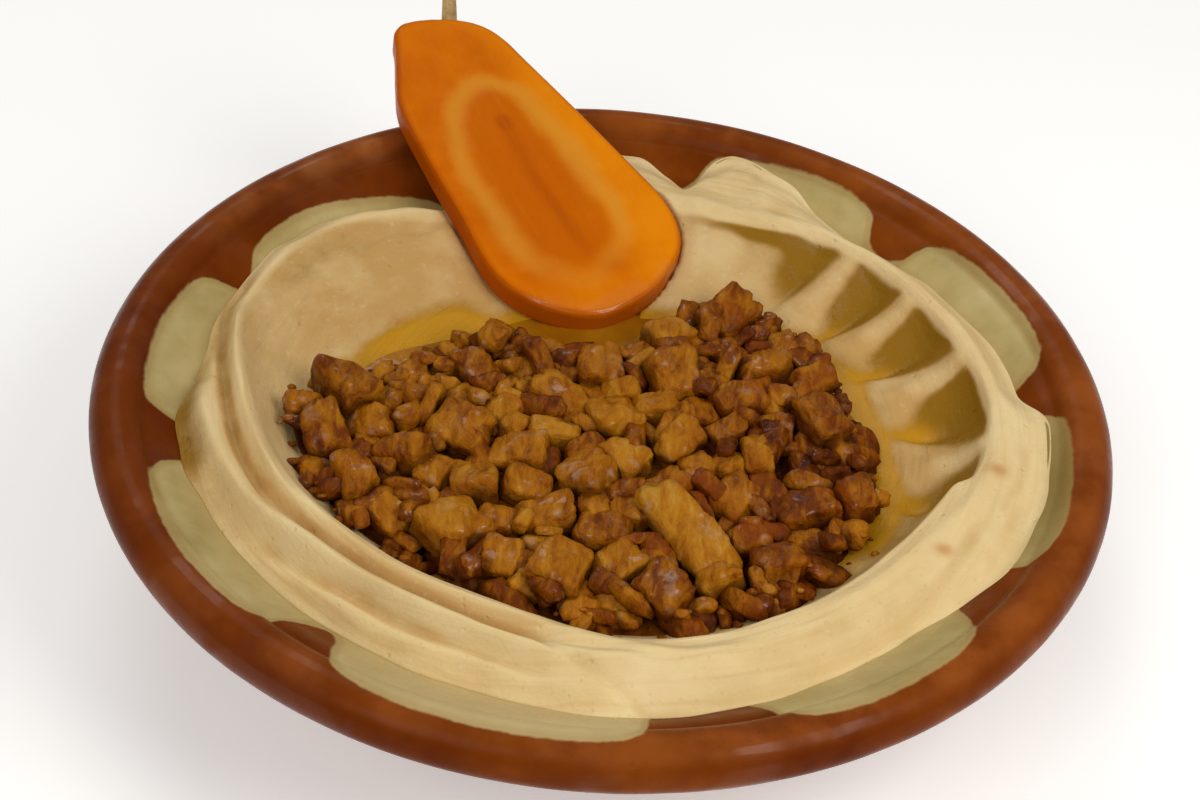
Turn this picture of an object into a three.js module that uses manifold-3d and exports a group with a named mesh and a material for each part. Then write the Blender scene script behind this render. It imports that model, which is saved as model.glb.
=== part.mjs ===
// Hummus with fried chopped meat and a slice of carrot, served in a shallow glazed clay bowl.
// Millimetres, +Z up. The origin is the middle of the bowl's flat foot. Directions are in degrees
// round +Z from +X, so the front of the bowl is at -90 and the carrot leans out at the back, near 110.
import * as THREE from "three";
import { mergeVertices } from "three/addons/utils/BufferGeometryUtils.js";
import { ConvexGeometry } from "three/addons/geometries/ConvexGeometry.js";
import Module from "manifold-3d";

// ---- driving dimensions ----
const BOWL_RADIUS = 90;
const BOWL_HEIGHT = 40.5;
const LIP_ROUND = 4.8; // radius of the rolled lip
const WALL_THICKNESS = 7;
const FOOT_RADIUS = 46;
const SECTORS = 84; // flats round the bowl and round the hummus
const GAP = 0.3; // clearance between neighbouring pieces

const HOLLOW_FLOOR = 25; // lowest level of the spooned hollow
const HOLLOW_FOOT = 28; // level at which the hollow's floor turns into its slope
const OIL_LEVEL = 27.4;

const MEAT_CENTRE = [-3, -6];
const MEAT_INSET = 4.5; // the core lies this far inside the heap's outline
const MEAT_EDGE = 29.4; // height of the core's top at its outline
const MEAT_RISE = 2.8; // how much higher the core is in the middle
const MEAT_PIECES = 86;
const LARGEST_PIECE = 12.2;
const SMALLEST_PIECE = 6;

const CARROT_THICKNESS = 6.5;
const CARROT_TILT = 16; // lean of the slice from level
const CARROT_LEAN = 110.6; // direction in which the slice climbs
const CARROT_TURN = 7.1; // turn of its long axis within its own plane, towards the left
const STUB_LENGTH = 11;
const STUB_RADIUS = 1.9;
const STUB_TILT = 21; // lean of the stub to the right of the slice's long axis

const { degToRad, radToDeg, euclideanModulo, clamp, lerp, smoothstep } = THREE.MathUtils;
const wasm = await Module();
wasm.setup();

// ---- helpers ----

// A smooth curve through points [x, y] that doesn't overshoot. With a period it closes on itself.
function through(points, period = 0) {
  const count = points.length;
  const point = (i) => {
    if (!period) return points[clamp(i, 0, count - 1)];
    const turns = Math.floor(i / count);
    const [x, y] = points[i - turns * count];
    return [x + turns * period, y];
  };
  const steepness = (i) => {
    const [[x0, y0], [x1, y1]] = [point(i), point(i + 1)];
    return x1 > x0 ? (y1 - y0) / (x1 - x0) : 0;
  };
  const tangent = (i) => {
    const [before, after] = [steepness(i - 1), steepness(i)];
    return before * after > 0 ? (2 * before * after) / (before + after) : 0;
  };
  return (x) => {
    const start = points[0][0];
    const at = period ? start + euclideanModulo(x - start, period) : x;
    let i = 0;
    while (i < count - 1 && point(i + 1)[0] <= at) i += 1;
    const [[x0, y0], [x1, y1]] = [point(i), point(i + 1)];
    const span = x1 - x0;
    if (span <= 0) return y0;
    const t = clamp((at - x0) / span, 0, 1);
    const rise = (3 - 2 * t) * t * t;
    return lerp(y0, y1, rise) + span * t * (1 - t) * (tangent(i) * (1 - t) - tangent(i + 1) * t);
  };
}

const round = (points) => through(points, 360);
const bump = (distance, width) => Math.exp(-((distance / width) ** 2));
const degreesApart = (a, b) => euclideanModulo(a - b + 180, 360) - 180;
const polar = (x, y) => [radToDeg(Math.atan2(y, x)), Math.hypot(x, y)];

function lowerOf(a, b, blend) {
  const h = clamp(0.5 + (0.5 * (b - a)) / blend, 0, 1);
  return lerp(b, a, h) - blend * h * (1 - h);
}

function seeded(seed) {
  let state = seed;
  return () => {
    state = (state + 0x6d2b79f5) | 0;
    let t = Math.imul(state ^ (state >>> 15), 1 | state);
    t = (t + Math.imul(t ^ (t >>> 7), 61 | t)) ^ t;
    return ((t ^ (t >>> 14)) >>> 0) / 4294967296;
  };
}

function geometryOf(positions, triangles) {
  const geometry = new THREE.BufferGeometry();
  geometry.setAttribute("position", new THREE.Float32BufferAttribute(positions, 3));
  geometry.setIndex(triangles);
  return geometry;
}

function toSolid(geometry) {
  const bare = geometry.clone();
  bare.deleteAttribute("normal");
  bare.deleteAttribute("uv");
  const merged = mergeVertices(bare, 1e-4);
  return new wasm.Manifold(new wasm.Mesh({
    numProp: 3,
    vertProperties: new Float32Array(merged.attributes.position.array),
    triVerts: new Uint32Array(merged.index.array),
  }));
}

// The largest closed skin of a solid, which fills sealed hollows and drops loose scraps.
function mainSkin(solid) {
  const skins = solid.decompose();
  return skins.reduce((best, skin) => (skin.volume() > best.volume() ? skin : best));
}

function fromSolid(solid) {
  const mesh = mainSkin(solid).getMesh();
  return geometryOf(Array.from(mesh.vertProperties), Array.from(mesh.triVerts));
}

// A closed cushion about a middle point. A ring has a radius by direction and a height by place;
// the underside's last ring is the top's last ring, so it only needs to be listed with the top.
function cushion([midX, midY], sectors, topRings, underRings) {
  const positions = [];
  const triangles = [];
  const addPoint = (x, y, z) => positions.push(x, y, z) / 3 - 1;
  const addRing = ({ radius, height }) => {
    const first = positions.length / 3;
    for (let k = 0; k < sectors; k += 1) {
      const deg = (360 * k) / sectors;
      const x = midX + radius(deg) * Math.cos(degToRad(deg));
      const y = midY + radius(deg) * Math.sin(degToRad(deg));
      addPoint(x, y, height(x, y));
    }
    return first;
  };
  const addSkin = (firsts, heightInMiddle, up) => {
    const middle = addPoint(midX, midY, heightInMiddle);
    const face = (a, b, c) => triangles.push(...(up ? [a, b, c] : [a, c, b]));
    firsts.forEach((outer, i) => {
      for (let k = 0; k < sectors; k += 1) {
        const next = (k + 1) % sectors;
        if (i === 0) {
          face(middle, outer + k, outer + next);
        } else {
          face(firsts[i - 1] + k, outer + k, outer + next);
          face(firsts[i - 1] + k, outer + next, firsts[i - 1] + next);
        }
      }
    });
  };
  const tops = topRings.map(addRing);
  const unders = underRings.map(addRing);
  addSkin(tops, topRings[0].height(midX, midY), true);
  addSkin([...unders, tops[tops.length - 1]], underRings[0].height(midX, midY), false);
  return geometryOf(positions, triangles);
}

// ---- bowl ----
const LIP_CENTRE = [BOWL_RADIUS - LIP_ROUND, BOWL_HEIGHT - LIP_ROUND];
// The inner wall's height by radius.
const wallHeight = through([
  [0, 10], [22, 10.6], [38, 13.2], [50, 17.9], [62, 25], [70, 30.6], [75, 34.2], [80.7, 37.4],
]);

// The bowl, or with a margin the bowl with its inner wall and lip thickened by that margin.
function bowlGeometry(margin = 0) {
  const profile = [new THREE.Vector2(0, 0), new THREE.Vector2(FOOT_RADIUS, 0)];
  profile.push(new THREE.Vector2(FOOT_RADIUS + 2, 1.4), new THREE.Vector2(FOOT_RADIUS + 3.2, 4.6));
  for (const radius of [53, 62, 72]) {
    const slope = Math.atan(wallHeight(radius + 0.5) - wallHeight(radius - 0.5));
    const out = WALL_THICKNESS * Math.sin(slope);
    profile.push(new THREE.Vector2(radius + out, wallHeight(radius) - WALL_THICKNESS * Math.cos(slope)));
  }
  const LIP_STEP = 30;
  for (let angle = -60; angle <= 150; angle += LIP_STEP) {
    const x = LIP_CENTRE[0] + (LIP_ROUND + margin) * Math.cos(degToRad(angle));
    profile.push(new THREE.Vector2(x, LIP_CENTRE[1] + (LIP_ROUND + margin) * Math.sin(degToRad(angle))));
  }
  for (const radius of [77, 72.5, 67.5, 61, 53, 43, 28, 0]) {
    profile.push(new THREE.Vector2(radius, wallHeight(radius) + margin));
  }
  return new THREE.LatheGeometry(profile, SECTORS).rotateX(Math.PI / 2);
}

// ---- hummus ----
// Radii by direction: the crest round the hollow, the foot of the hollow's slope, and the outer edge
// where the paste ends on the bowl's wall.
const crestRadius = round([
  [-180, 64.4], [-170, 62], [-160, 60.6], [-149, 59.2], [-139, 58], [-125, 56.6], [-111, 56.2], [-98, 57.8],
  [-84, 61], [-72, 61.4], [-56, 60.6], [-38, 60.6], [-29, 61.2], [-20, 62.4], [-16.5, 63], [-13, 65.8],
  [-4, 67.4], [3, 68], [10, 67.7], [18, 66.8], [29, 66], [40, 65.6], [49, 65], [56, 63.5], [67, 60.3],
  [76, 58.5], [88, 62], [104, 60], [116, 59], [127, 62], [133, 65], [141, 68.6], [150, 70.2], [163, 69.6],
  [173, 66.8],
]);
const crestHeight = round([
  [-100, 37.4], [-40, 37.6], [20, 37.8], [60, 37.2], [77, 36.6], [90, 37.2], [100, 35.8], [112, 35.2],
  [128, 37], [150, 37.8],
]);
const footRadius = round([
  [-165, 51], [-130, 48], [-100, 49], [-60, 51], [-35, 51], [-14, 53], [5, 51], [25, 47], [45, 44],
  [62, 42], [75, 38], [90, 36], [108, 37], [125, 37], [142, 40], [160, 48], [178, 52],
]);
const edgeRadius = round([
  [-178, 73], [-168, 75], [-152, 73.8], [-140, 72.8], [-130, 72.4], [-119, 71.2], [-108, 71.4], [-97, 72.8],
  [-88, 74.8], [-76, 75.2], [-67, 74.4], [-56, 73], [-46, 73], [-38, 75], [-32, 77], [-20, 78.7],
  [-9, 78.9], [0, 79.4], [9, 75.4], [18, 75.7], [29, 74.9], [40, 74], [48, 72.6], [57, 74.6], [66, 78.2],
  [73.5, 80.2], [76.5, 77.6], [79.5, 71.8], [83, 74], [88, 77], [94, 77], [102, 74], [110, 69.6],
  [122, 67.6], [129, 70.4], [137, 73.6], [150, 74.8], [165, 73.8],
]);
// Steepness of the slope just under the crest, by direction.
const slopePower = round([
  [-180, 2.2], [-60, 2.2], [-25, 3.6], [5, 4.6], [45, 4.4], [65, 3.4], [85, 2.2], [140, 2],
]);
const EDGE_ROUND = 6.8; // the paste's outer edge is rounded over this width
const EDGE_POWER = 0.8; // fullness of that rounding: 0.5 is a quarter circle, more is flatter
const CREST_BLEND = 1.4; // roundness of the crest, where the slope meets the band
const NARROWEST_BAND = 4; // least width taken for the band between crest and edge
const BAND_BULGE = 0.6; // the band between crest and edge bulges by this much
const BAND_FALL = 1.5; // and ends lower than the crest by this much

// Long ridges and grooves left by the spoon, each a run of [direction, radius] with its own height.
const SPOON_LINES = [
  { rise: 1.2, width: 1.6, run: [
    [-190, 68.6], [-180, 66], [-170, 63.6], [-155, 62], [-134, 59.8], [-109, 58.6], [-88, 62.6], [-72, 66],
  ] },
  { rise: -2.6, width: 1.5, run: [
    [-196, 73], [-190, 71], [-184, 69], [-171, 66.2], [-159, 65.2], [-149, 64.2], [-137, 61.8],
    [-118, 60.6], [-100, 61.6],
  ] },
  { rise: 2.1, width: 2, run: [
    [-177, 72], [-166, 70.4], [-157, 69.2], [-148, 68.2], [-137, 65.6], [-126, 64], [-112, 64], [-99, 65.2],
    [-86, 66.6],
  ] },
  { rise: -1.6, width: 1.3, run: [[-136, 69], [-122, 66.6], [-108, 66.6], [-96, 68.4]] },
  { rise: 1.1, width: 1.6, run: [[-136, 71.4], [-126, 69.6], [-115, 68.6], [-101, 69.4], [-88, 71.6]] },
  { rise: -0.9, width: 1.1, run: [[-100, 63.2], [-92, 66.8], [-88, 69.4], [-84, 72.6], [-81, 75.4]] },
  { rise: 0.8, width: 2, run: [
    [-48, 63.6], [-30, 65], [-14, 68.4], [0, 70.4], [14, 69.8], [40, 68], [56, 65.8], [70, 62.4], [84, 62],
  ] },
  { rise: -1.2, width: 2.2, run: [[127, 60.6], [136, 63.6], [149, 66.6], [163, 68.4]] },
];
// Radial ridges on the hollow's right and back slope: [direction, half width in degrees, height].
const FLUTES = [
  [70, 5, 0.8], [52, 3.2, -1.5], [45.5, 3, 0.9], [38, 3.2, -2.4], [31.5, 2.6, 1.1], [23, 3.2, -2.4],
  [15.5, 2.6, 1.2], [5, 4.2, -2.6], [-4.5, 2.6, 1.2], [-15, 3.5, -1.8],
];
// Lumps of paste at the back: [x, y, size along x, size along y, height].
const LUMPS = [
  [24, 72, 5.5, 5.5, 1.8], [31, 67.5, 5, 5, 1], [27, 63, 3.5, 3.5, 0.5], [40, 62, 4, 4, 0.7],
  [15.5, 50, 2.4, 14, 1.2],
];

const spoonLines = SPOON_LINES.map(({ run, rise, width }) => ({
  radiusAt: through(run), from: run[0][0], to: run[run.length - 1][0], rise, width,
}));

function spoonRelief(deg, radius) {
  const FADE = 9; // degrees over which a line fades out at its ends
  let height = 0;
  for (const line of spoonLines) {
    const middle = (line.from + line.to) / 2;
    const direction = middle + degreesApart(deg, middle);
    const inside = Math.min(direction - line.from, line.to - direction) + FADE;
    const strength = smoothstep(inside, 0, FADE);
    height += strength * line.rise * bump(radius - line.radiusAt(direction), line.width);
  }
  return height;
}

// Flutes of the slope. Ridges narrow towards the crest; hollows widen and are abrupt in front.
function fluteRelief(deg, along) {
  let height = 0;
  for (const [direction, width, rise] of FLUTES) {
    const offset = degreesApart(deg, direction);
    const hollowSpread = (0.4 + 0.95 * along) * (offset < 0 ? 0.7 : 1.25);
    height += rise * bump(offset, width * (rise > 0 ? 1.4 - 0.8 * along : hollowSpread));
  }
  return height;
}

function hummusHeight(x, y) {
  const [deg, radius] = polar(x, y);
  const crest = crestRadius(deg);
  const top = crestHeight(deg);
  const foot = footRadius(deg);
  const edge = edgeRadius(deg);
  const FLOOR_POWER = 4;
  let slope = lerp(HOLLOW_FLOOR, HOLLOW_FOOT, Math.min(radius / foot, 1) ** FLOOR_POWER);
  const along = clamp((radius - foot) / (crest - foot), 0, 1.3);
  const startSlope = (FLOOR_POWER * (HOLLOW_FOOT - HOLLOW_FLOOR)) / foot;
  const straight = Math.min((startSlope * (crest - foot)) / (top - HOLLOW_FOOT), 0.8);
  slope += (top - HOLLOW_FOOT) * (straight * along + (1 - straight) * along ** slopePower(deg));
  slope += smoothstep(along, 0, 0.5) * (1 - smoothstep(along, 0.92, 1.1)) * fluteRelief(deg, along);
  const across = clamp((radius - crest) / Math.max(edge - crest, NARROWEST_BAND), 0, 1);
  const band = top + BAND_BULGE * 4 * across * (1 - across) - BAND_FALL * across ** 2;
  let full = lowerOf(slope, band, CREST_BLEND) + spoonRelief(deg, radius);
  for (const [lumpX, lumpY, sizeX, sizeY, rise] of LUMPS) {
    full += rise * bump(Math.hypot((x - lumpX) / sizeX, (y - lumpY) / sizeY), 1);
  }
  const floor = wallHeight(radius) + GAP;
  const inward = clamp((edge - radius) / EDGE_ROUND, 0, 1);
  return floor + (full - floor) * (1 - (1 - inward) ** 2) ** EDGE_POWER;
}

// The paste as a cushion that reaches a little into the bowl's wall, then cut by the bowl. With a
// margin its surface is raised, to cut what lies on it.
function hummusSolid(margin = 0) {
  const SINK = 1.5;
  const between = (a, b, t) => (deg) => lerp(a(deg), b(deg), t);
  const none = () => 0;
  const inset = (deg) => Math.max(edgeRadius(deg) - EDGE_ROUND, crestRadius(deg) + 1);
  const height = (x, y) => hummusHeight(x, y) + margin;
  const surface = (a, b, steps) => steps.map((t) => ({ radius: between(a, b, t), height }));
  const sunk = (depth) => (x, y) => wallHeight(Math.hypot(x, y)) - depth;
  const top = [
    ...surface(none, footRadius, [0.4, 0.75, 1]),
    ...surface(footRadius, crestRadius, [0.35, 0.65, 0.85, 1]),
    ...surface(crestRadius, inset, [0.25, 0.5, 0.75, 1]),
    ...surface(inset, edgeRadius, [0.45, 0.85]),
    { radius: (deg) => edgeRadius(deg) + 0.4, height: sunk(SINK) },
  ];
  const under = [0.5, 0.85].map((t) => ({ radius: between(none, edgeRadius, t), height: sunk(2 * SINK) }));
  return toSolid(cushion([0, 0], SECTORS, top, under)).subtract(toSolid(bowlGeometry(GAP)));
}

// ---- carrot slice ----
// Outline in the slice's own plane: [along from the low end, across to the right].
const CARROT_OUTLINE = [
  [0, 1], [0.5, 7.5], [2.7, 13.9], [6, 18.8], [9.3, 22.2], [13.4, 24.4], [18.5, 25.2], [24.4, 24.6],
  [31.7, 22.5], [50, 16.9], [64.7, 12.1], [70.7, 10.1], [75, 7.6], [78, 3.8], [79.9, -1.5], [80.6, -6.5],
  [80.2, -9.4], [78.6, -11.2], [74.6, -12.4], [66.9, -15.1], [60.1, -17.1], [49, -17.1], [30, -15.8],
  [15.5, -14.7], [9.5, -12], [4, -7],
];
const CARROT_HALF_WIDTH = 21;
const LOW_END_ALONG = -55.4; // low end of the outline, measured along the climb from the lip

function carrotFrame() {
  const climb = new THREE.Vector3(Math.cos(degToRad(CARROT_LEAN)), Math.sin(degToRad(CARROT_LEAN)), 0);
  const touch = Math.sqrt(LIP_CENTRE[0] ** 2 - CARROT_HALF_WIDTH ** 2);
  const tilt = degToRad(CARROT_TILT);
  const lift = (LIP_ROUND + GAP) / Math.cos(tilt);
  const contact = climb.clone().multiplyScalar(touch).setZ(LIP_CENTRE[1] + lift);
  const up = new THREE.Vector3(climb.x * Math.cos(tilt), climb.y * Math.cos(tilt), Math.sin(tilt));
  const right = new THREE.Vector3(climb.y, -climb.x, 0);
  const normal = new THREE.Vector3().crossVectors(right, up);
  const along = up.clone().applyAxisAngle(normal, degToRad(CARROT_TURN));
  const across = right.clone().applyAxisAngle(normal, degToRad(CARROT_TURN));
  const low = contact.clone().addScaledVector(up, LOW_END_ALONG).addScaledVector(right, 7);
  return new THREE.Matrix4().makeBasis(across, along, normal).setPosition(low);
}

function carrotSlab(grow) {
  const outline = new THREE.Shape();
  const points = CARROT_OUTLINE.map(([along, across]) => new THREE.Vector3(across, along, 0));
  const smooth = new THREE.CatmullRomCurve3(points, true, "centripetal").getPoints(48);
  smooth.pop();
  outline.setFromPoints(smooth.map((p) => new THREE.Vector2(p.x, p.y)));
  const rounding = grow > 0
    ? { bevelEnabled: true, bevelThickness: grow, bevelSize: grow, bevelSegments: 1 }
    : { bevelEnabled: true, bevelThickness: 0.7, bevelSize: 0.7, bevelOffset: -0.7, bevelSegments: 1 };
  const depth = grow > 0 ? CARROT_THICKNESS : CARROT_THICKNESS - 2 * rounding.bevelThickness;
  const slab = new THREE.ExtrudeGeometry(outline, { depth, steps: 1, curveSegments: 1, ...rounding });
  slab.translate(0, 0, (CARROT_THICKNESS - depth) / 2);
  return slab;
}

function carrotGeometry() {
  const STUB_AT = [0.4, 77]; // where it leaves the slice: across, along
  const ROOTED = 3; // length inside the slice
  const stub = new THREE.CylinderGeometry(STUB_RADIUS * 0.75, STUB_RADIUS, STUB_LENGTH + ROOTED, 8);
  stub.translate(0, (STUB_LENGTH - ROOTED) / 2, 0).rotateZ(-degToRad(STUB_TILT));
  stub.translate(STUB_AT[0], STUB_AT[1], CARROT_THICKNESS / 2);
  return fromSolid(toSolid(carrotSlab(0)).add(toSolid(stub))).applyMatrix4(carrotFrame());
}

// The space that the carrot takes, with its clearance, to be cut from what it is pushed into.
const carrotSpace = () => toSolid(carrotSlab(GAP).applyMatrix4(carrotFrame()));

// ---- meat ----
// Outline of the heap: radius from MEAT_CENTRE by direction.
const heapRadius = round([
  [-170, 51], [-153, 48.5], [-133, 44.6], [-120, 42], [-102, 42.2], [-88, 45.2], [-76, 48.4], [-58, 48.8],
  [-42, 50], [-31, 52.5], [-18, 53], [-3, 49.3], [16, 49.3], [32, 51], [46, 48.8], [60, 48.5], [66, 38],
  [71, 26], [77, 23.5], [87, 22.5], [104, 24.5], [118, 28], [130, 31], [141, 34.5], [156, 34], [165, 46.5],
  [178, 53],
]);
const coreRadius = (deg) => heapRadius(deg) - MEAT_INSET;
const CORE_SECTORS = 40;

function coreTop(x, y) {
  const [deg, distance] = polar(x - MEAT_CENTRE[0], y - MEAT_CENTRE[1]);
  return MEAT_EDGE + MEAT_RISE * (1 - Math.min(distance / coreRadius(deg), 1) ** 2);
}

// The plain heap under the pieces, or with a margin the upright space that it takes.
function coreSolid(margin = 0) {
  const BASE = 20; // inside the hummus, which cuts the core's underside
  const part = (t, height) => ({ radius: (deg) => t * coreRadius(deg) + margin, height });
  const base = () => BASE;
  const lid = () => BOWL_HEIGHT;
  const top = margin > 0
    ? [part(1, lid), part(1, base)]
    : [part(0.4, coreTop), part(0.75, coreTop), part(1, coreTop), part(1, base)];
  return toSolid(cushion(MEAT_CENTRE, CORE_SECTORS, top, [part(0.5, base)]));
}

// One chopped piece: a box with its corners and two face middles pushed about, turned as told.
function pieceGeometry(length, width, height, turn, random) {
  const points = [];
  const add = (x, y, z) => points.push(new THREE.Vector3(x * length, y * width, z * height));
  const near = (value, spread) => value * (1 + spread * (random() - 0.5));
  const CORNER_SPREAD = 0.5;
  for (const x of [-1, 1]) for (const y of [-1, 1]) for (const z of [-1, 1]) {
    add(near(x, CORNER_SPREAD), near(y, CORNER_SPREAD), near(z, CORNER_SPREAD));
  }
  const BULGE = 1.3;
  add(near(BULGE, 0.3), random() - 0.5, random() - 0.5);
  add(random() - 0.5, random() - 0.5, near(BULGE, 0.3));
  points.forEach((p) => p.multiplyScalar(0.45));
  const tip = new THREE.Euler(0.6 * (random() - 0.5), 0.6 * (random() - 0.5), degToRad(turn));
  return new ConvexGeometry(points).applyMatrix4(new THREE.Matrix4().makeRotationFromEuler(tip));
}

// Where a vertex of a piece may not be: under the oil or hummus outside the core, or in the carrot.
const OVER_PASTE = 0.9;
const OVER_OIL = 0.5;
const OFF_CARROT = 1.2;
const toCarrot = carrotFrame().invert();
const carrotSides = CARROT_OUTLINE.map(([along, across]) => new THREE.Vector2(across, along));

function insideCarrot(vertex, margin) {
  const local = vertex.clone().applyMatrix4(toCarrot);
  if (local.z < -margin || local.z > CARROT_THICKNESS + margin) return false;
  let crossings = 0;
  let nearest = Infinity;
  carrotSides.forEach((a, i) => {
    const b = carrotSides[(i + 1) % carrotSides.length];
    const side = new THREE.Vector2().subVectors(b, a);
    const spans = a.y > local.y !== b.y > local.y;
    if (spans && local.x < a.x + (side.x * (local.y - a.y)) / side.y) crossings += 1;
    const t = clamp(((local.x - a.x) * side.x + (local.y - a.y) * side.y) / side.lengthSq(), 0, 1);
    nearest = Math.min(nearest, Math.hypot(local.x - a.x - t * side.x, local.y - a.y - t * side.y));
  });
  return crossings % 2 === 1 || nearest < margin;
}

function liftNeeded(geometry, x, y, z) {
  const positions = geometry.attributes.position;
  let lift = 0;
  for (let i = 0; i < positions.count; i += 1) {
    const vertex = new THREE.Vector3().fromBufferAttribute(positions, i).add(new THREE.Vector3(x, y, z));
    const [deg, distance] = polar(vertex.x - MEAT_CENTRE[0], vertex.y - MEAT_CENTRE[1]);
    const lowest = hummusHeight(vertex.x, vertex.y) + OVER_PASTE;
    const free = distance > coreRadius(deg) - 1;
    lift = Math.max(lift, (free ? Math.max(lowest, OIL_LEVEL + OVER_OIL) : lowest) - vertex.z);
  }
  return lift;
}

// The long pale-edged strip near the front. The pieces follow it from the largest down, each set down
// where it is farthest from those before it.
const STRIP = { at: [16, -31], length: 25, width: 9, height: 7, turn: -53 };

function meatGeometry() {
  const HIGHEST_TOP = 38.6; // a piece that would stand higher than this is left out
  const random = seeded(41);
  let heap = coreSolid();
  const placed = [];
  const put = (geometry, x, y, z, size) => {
    const solid = geometry.clone().translate(x, y, z + liftNeeded(geometry, x, y, z));
    solid.computeBoundingBox();
    if (solid.boundingBox.max.z > HIGHEST_TOP) return false;
    const vertices = solid.attributes.position;
    for (let i = 0; i < vertices.count; i += 1) {
      if (insideCarrot(new THREE.Vector3().fromBufferAttribute(vertices, i), OFF_CARROT)) return false;
    }
    heap = heap.add(toSolid(solid));
    placed.push([x, y, size]);
    return true;
  };
  const strip = pieceGeometry(STRIP.length, STRIP.width, STRIP.height, STRIP.turn, seeded(5));
  put(strip, ...STRIP.at, coreTop(...STRIP.at) + 1.5, STRIP.width * 1.5);
  for (let n = 0; n < MEAT_PIECES; n += 1) {
    const share = n / (MEAT_PIECES - 1);
    const size = lerp(LARGEST_PIECE, SMALLEST_PIECE, share ** 0.6);
    let best = null;
    for (let trial = 0; trial < 40; trial += 1) {
      const deg = 360 * random();
      const distance = (heapRadius(deg) - 0.42 * size) * Math.sqrt(random());
      const x = MEAT_CENTRE[0] + distance * Math.cos(degToRad(deg));
      const y = MEAT_CENTRE[1] + distance * Math.sin(degToRad(deg));
      const rooms = placed.map(([px, py, other]) => Math.hypot(x - px, y - py) - 0.4 * (other + size));
      const room = Math.min(...rooms);
      if (!best || room > best.room) best = { x, y, room };
    }
    const width = size * lerp(0.6, 0.95, random());
    const height = size * lerp(0.5, 0.75, random());
    const piece = pieceGeometry(size, width, height, 360 * random(), random);
    put(piece, best.x, best.y, coreTop(best.x, best.y) + 0.05 * size, size);
  }
  return fromSolid(heap.subtract(hummusSolid(GAP)));
}

// ---- oil ----
// A ring of oil between the meat's core and the hollow's slope, level on top.
function oilSolid() {
  const OIL_SECTORS = 48;
  const DEPTH = 2.9; // reaches just into the hollow's floor
  const REACH = 3; // past the foot of the slope, where the hummus is above the oil
  const reach = (deg) => footRadius(deg) + REACH;
  const ring = (share, level) => ({ radius: (deg) => share * reach(deg), height: () => level });
  const top = [ring(1, OIL_LEVEL), ring(1, OIL_LEVEL - DEPTH)];
  const disc = toSolid(cushion([0, 0], OIL_SECTORS, top, [ring(0.5, OIL_LEVEL - DEPTH)]));
  return disc.subtract(hummusSolid(GAP)).subtract(coreSolid(GAP));
}

// ---- assembly ----
function meshOf(name, geometry, color, roughness) {
  const mesh = new THREE.Mesh(geometry, new THREE.MeshStandardMaterial({ color, roughness, metalness: 0 }));
  mesh.name = name;
  return mesh;
}

const hummus = fromSolid(hummusSolid().subtract(carrotSpace()));
const oil = fromSolid(oilSolid().subtract(carrotSpace()));

const dish = new THREE.Group();
dish.add(meshOf("bowl", bowlGeometry(), "#7a3410", 0.3));
dish.add(meshOf("hummus", hummus, "#dcc491", 0.6));
dish.add(meshOf("meat", meatGeometry(), "#8a5a1c", 0.5));
dish.add(meshOf("oil", oil, "#c08a10", 0.15));
dish.add(meshOf("carrot", carrotGeometry(), "#d0680a", 0.4));

export default dish;
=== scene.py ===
"""Looks of a bowl of hummus: glazed bowl, spooned hummus, chopped meat, oil and a slice of carrot.

Lengths are millimetres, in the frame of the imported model, and become metres when a mesh is made.
Directions are degrees round +Z from +X, so the front is at -90 and the carrot leans out near 110.
"""
import itertools
import math
import bmesh
import bpy
import numpy as np
from mathutils import Matrix, Vector


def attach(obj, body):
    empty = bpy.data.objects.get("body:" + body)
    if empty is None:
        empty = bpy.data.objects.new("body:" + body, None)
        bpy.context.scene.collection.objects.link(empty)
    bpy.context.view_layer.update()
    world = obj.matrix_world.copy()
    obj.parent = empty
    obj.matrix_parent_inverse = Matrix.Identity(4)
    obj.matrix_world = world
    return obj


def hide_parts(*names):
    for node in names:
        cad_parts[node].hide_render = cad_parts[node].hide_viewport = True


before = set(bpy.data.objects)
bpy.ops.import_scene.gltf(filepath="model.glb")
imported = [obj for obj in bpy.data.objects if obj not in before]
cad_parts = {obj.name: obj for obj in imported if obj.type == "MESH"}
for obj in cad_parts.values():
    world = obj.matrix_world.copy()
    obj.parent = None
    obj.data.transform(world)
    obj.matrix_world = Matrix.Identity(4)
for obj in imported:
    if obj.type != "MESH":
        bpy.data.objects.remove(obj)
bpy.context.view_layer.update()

# ---- driving dimensions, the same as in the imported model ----
BOWL_RADIUS, BOWL_HEIGHT, LIP_ROUND, WALL_THICKNESS, FOOT_RADIUS = 90, 40.5, 4.8, 7, 46
LIP_CENTRE = (BOWL_RADIUS - LIP_ROUND, BOWL_HEIGHT - LIP_ROUND)
HOLLOW_FLOOR, HOLLOW_FOOT, OIL_LEVEL = 25, 28, 27.4
MEAT_CENTRE, MEAT_INSET, MEAT_EDGE, MEAT_RISE = (-3, -6), 4.5, 29.4, 2.8
MEAT_PIECES, LARGEST_PIECE, SMALLEST_PIECE = 86, 12.2, 6
STRIP_SIZE, STRIP_MIDDLE, STRIP_TURN = (25, 9, 7), (16, -31), -53  # the long pale piece in front
OVER_PASTE, OVER_OIL, OFF_CARROT, HIGHEST_TOP = 0.9, 0.5, 1.2, 38.6  # where chopped pieces may lie
CARROT_THICKNESS, CARROT_TILT, CARROT_LEAN, CARROT_TURN = 6.5, 16, 110.6, 7.1
CARROT_HALF_WIDTH, LOW_END_ALONG, LOW_END_ACROSS = 21, -55.4, 7  # the low end is measured from the lip
STUB_LENGTH, STUB_RADIUS, STUB_TILT, STUB_AT = 11, 1.9, 21, (0.4, 77)

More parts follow.
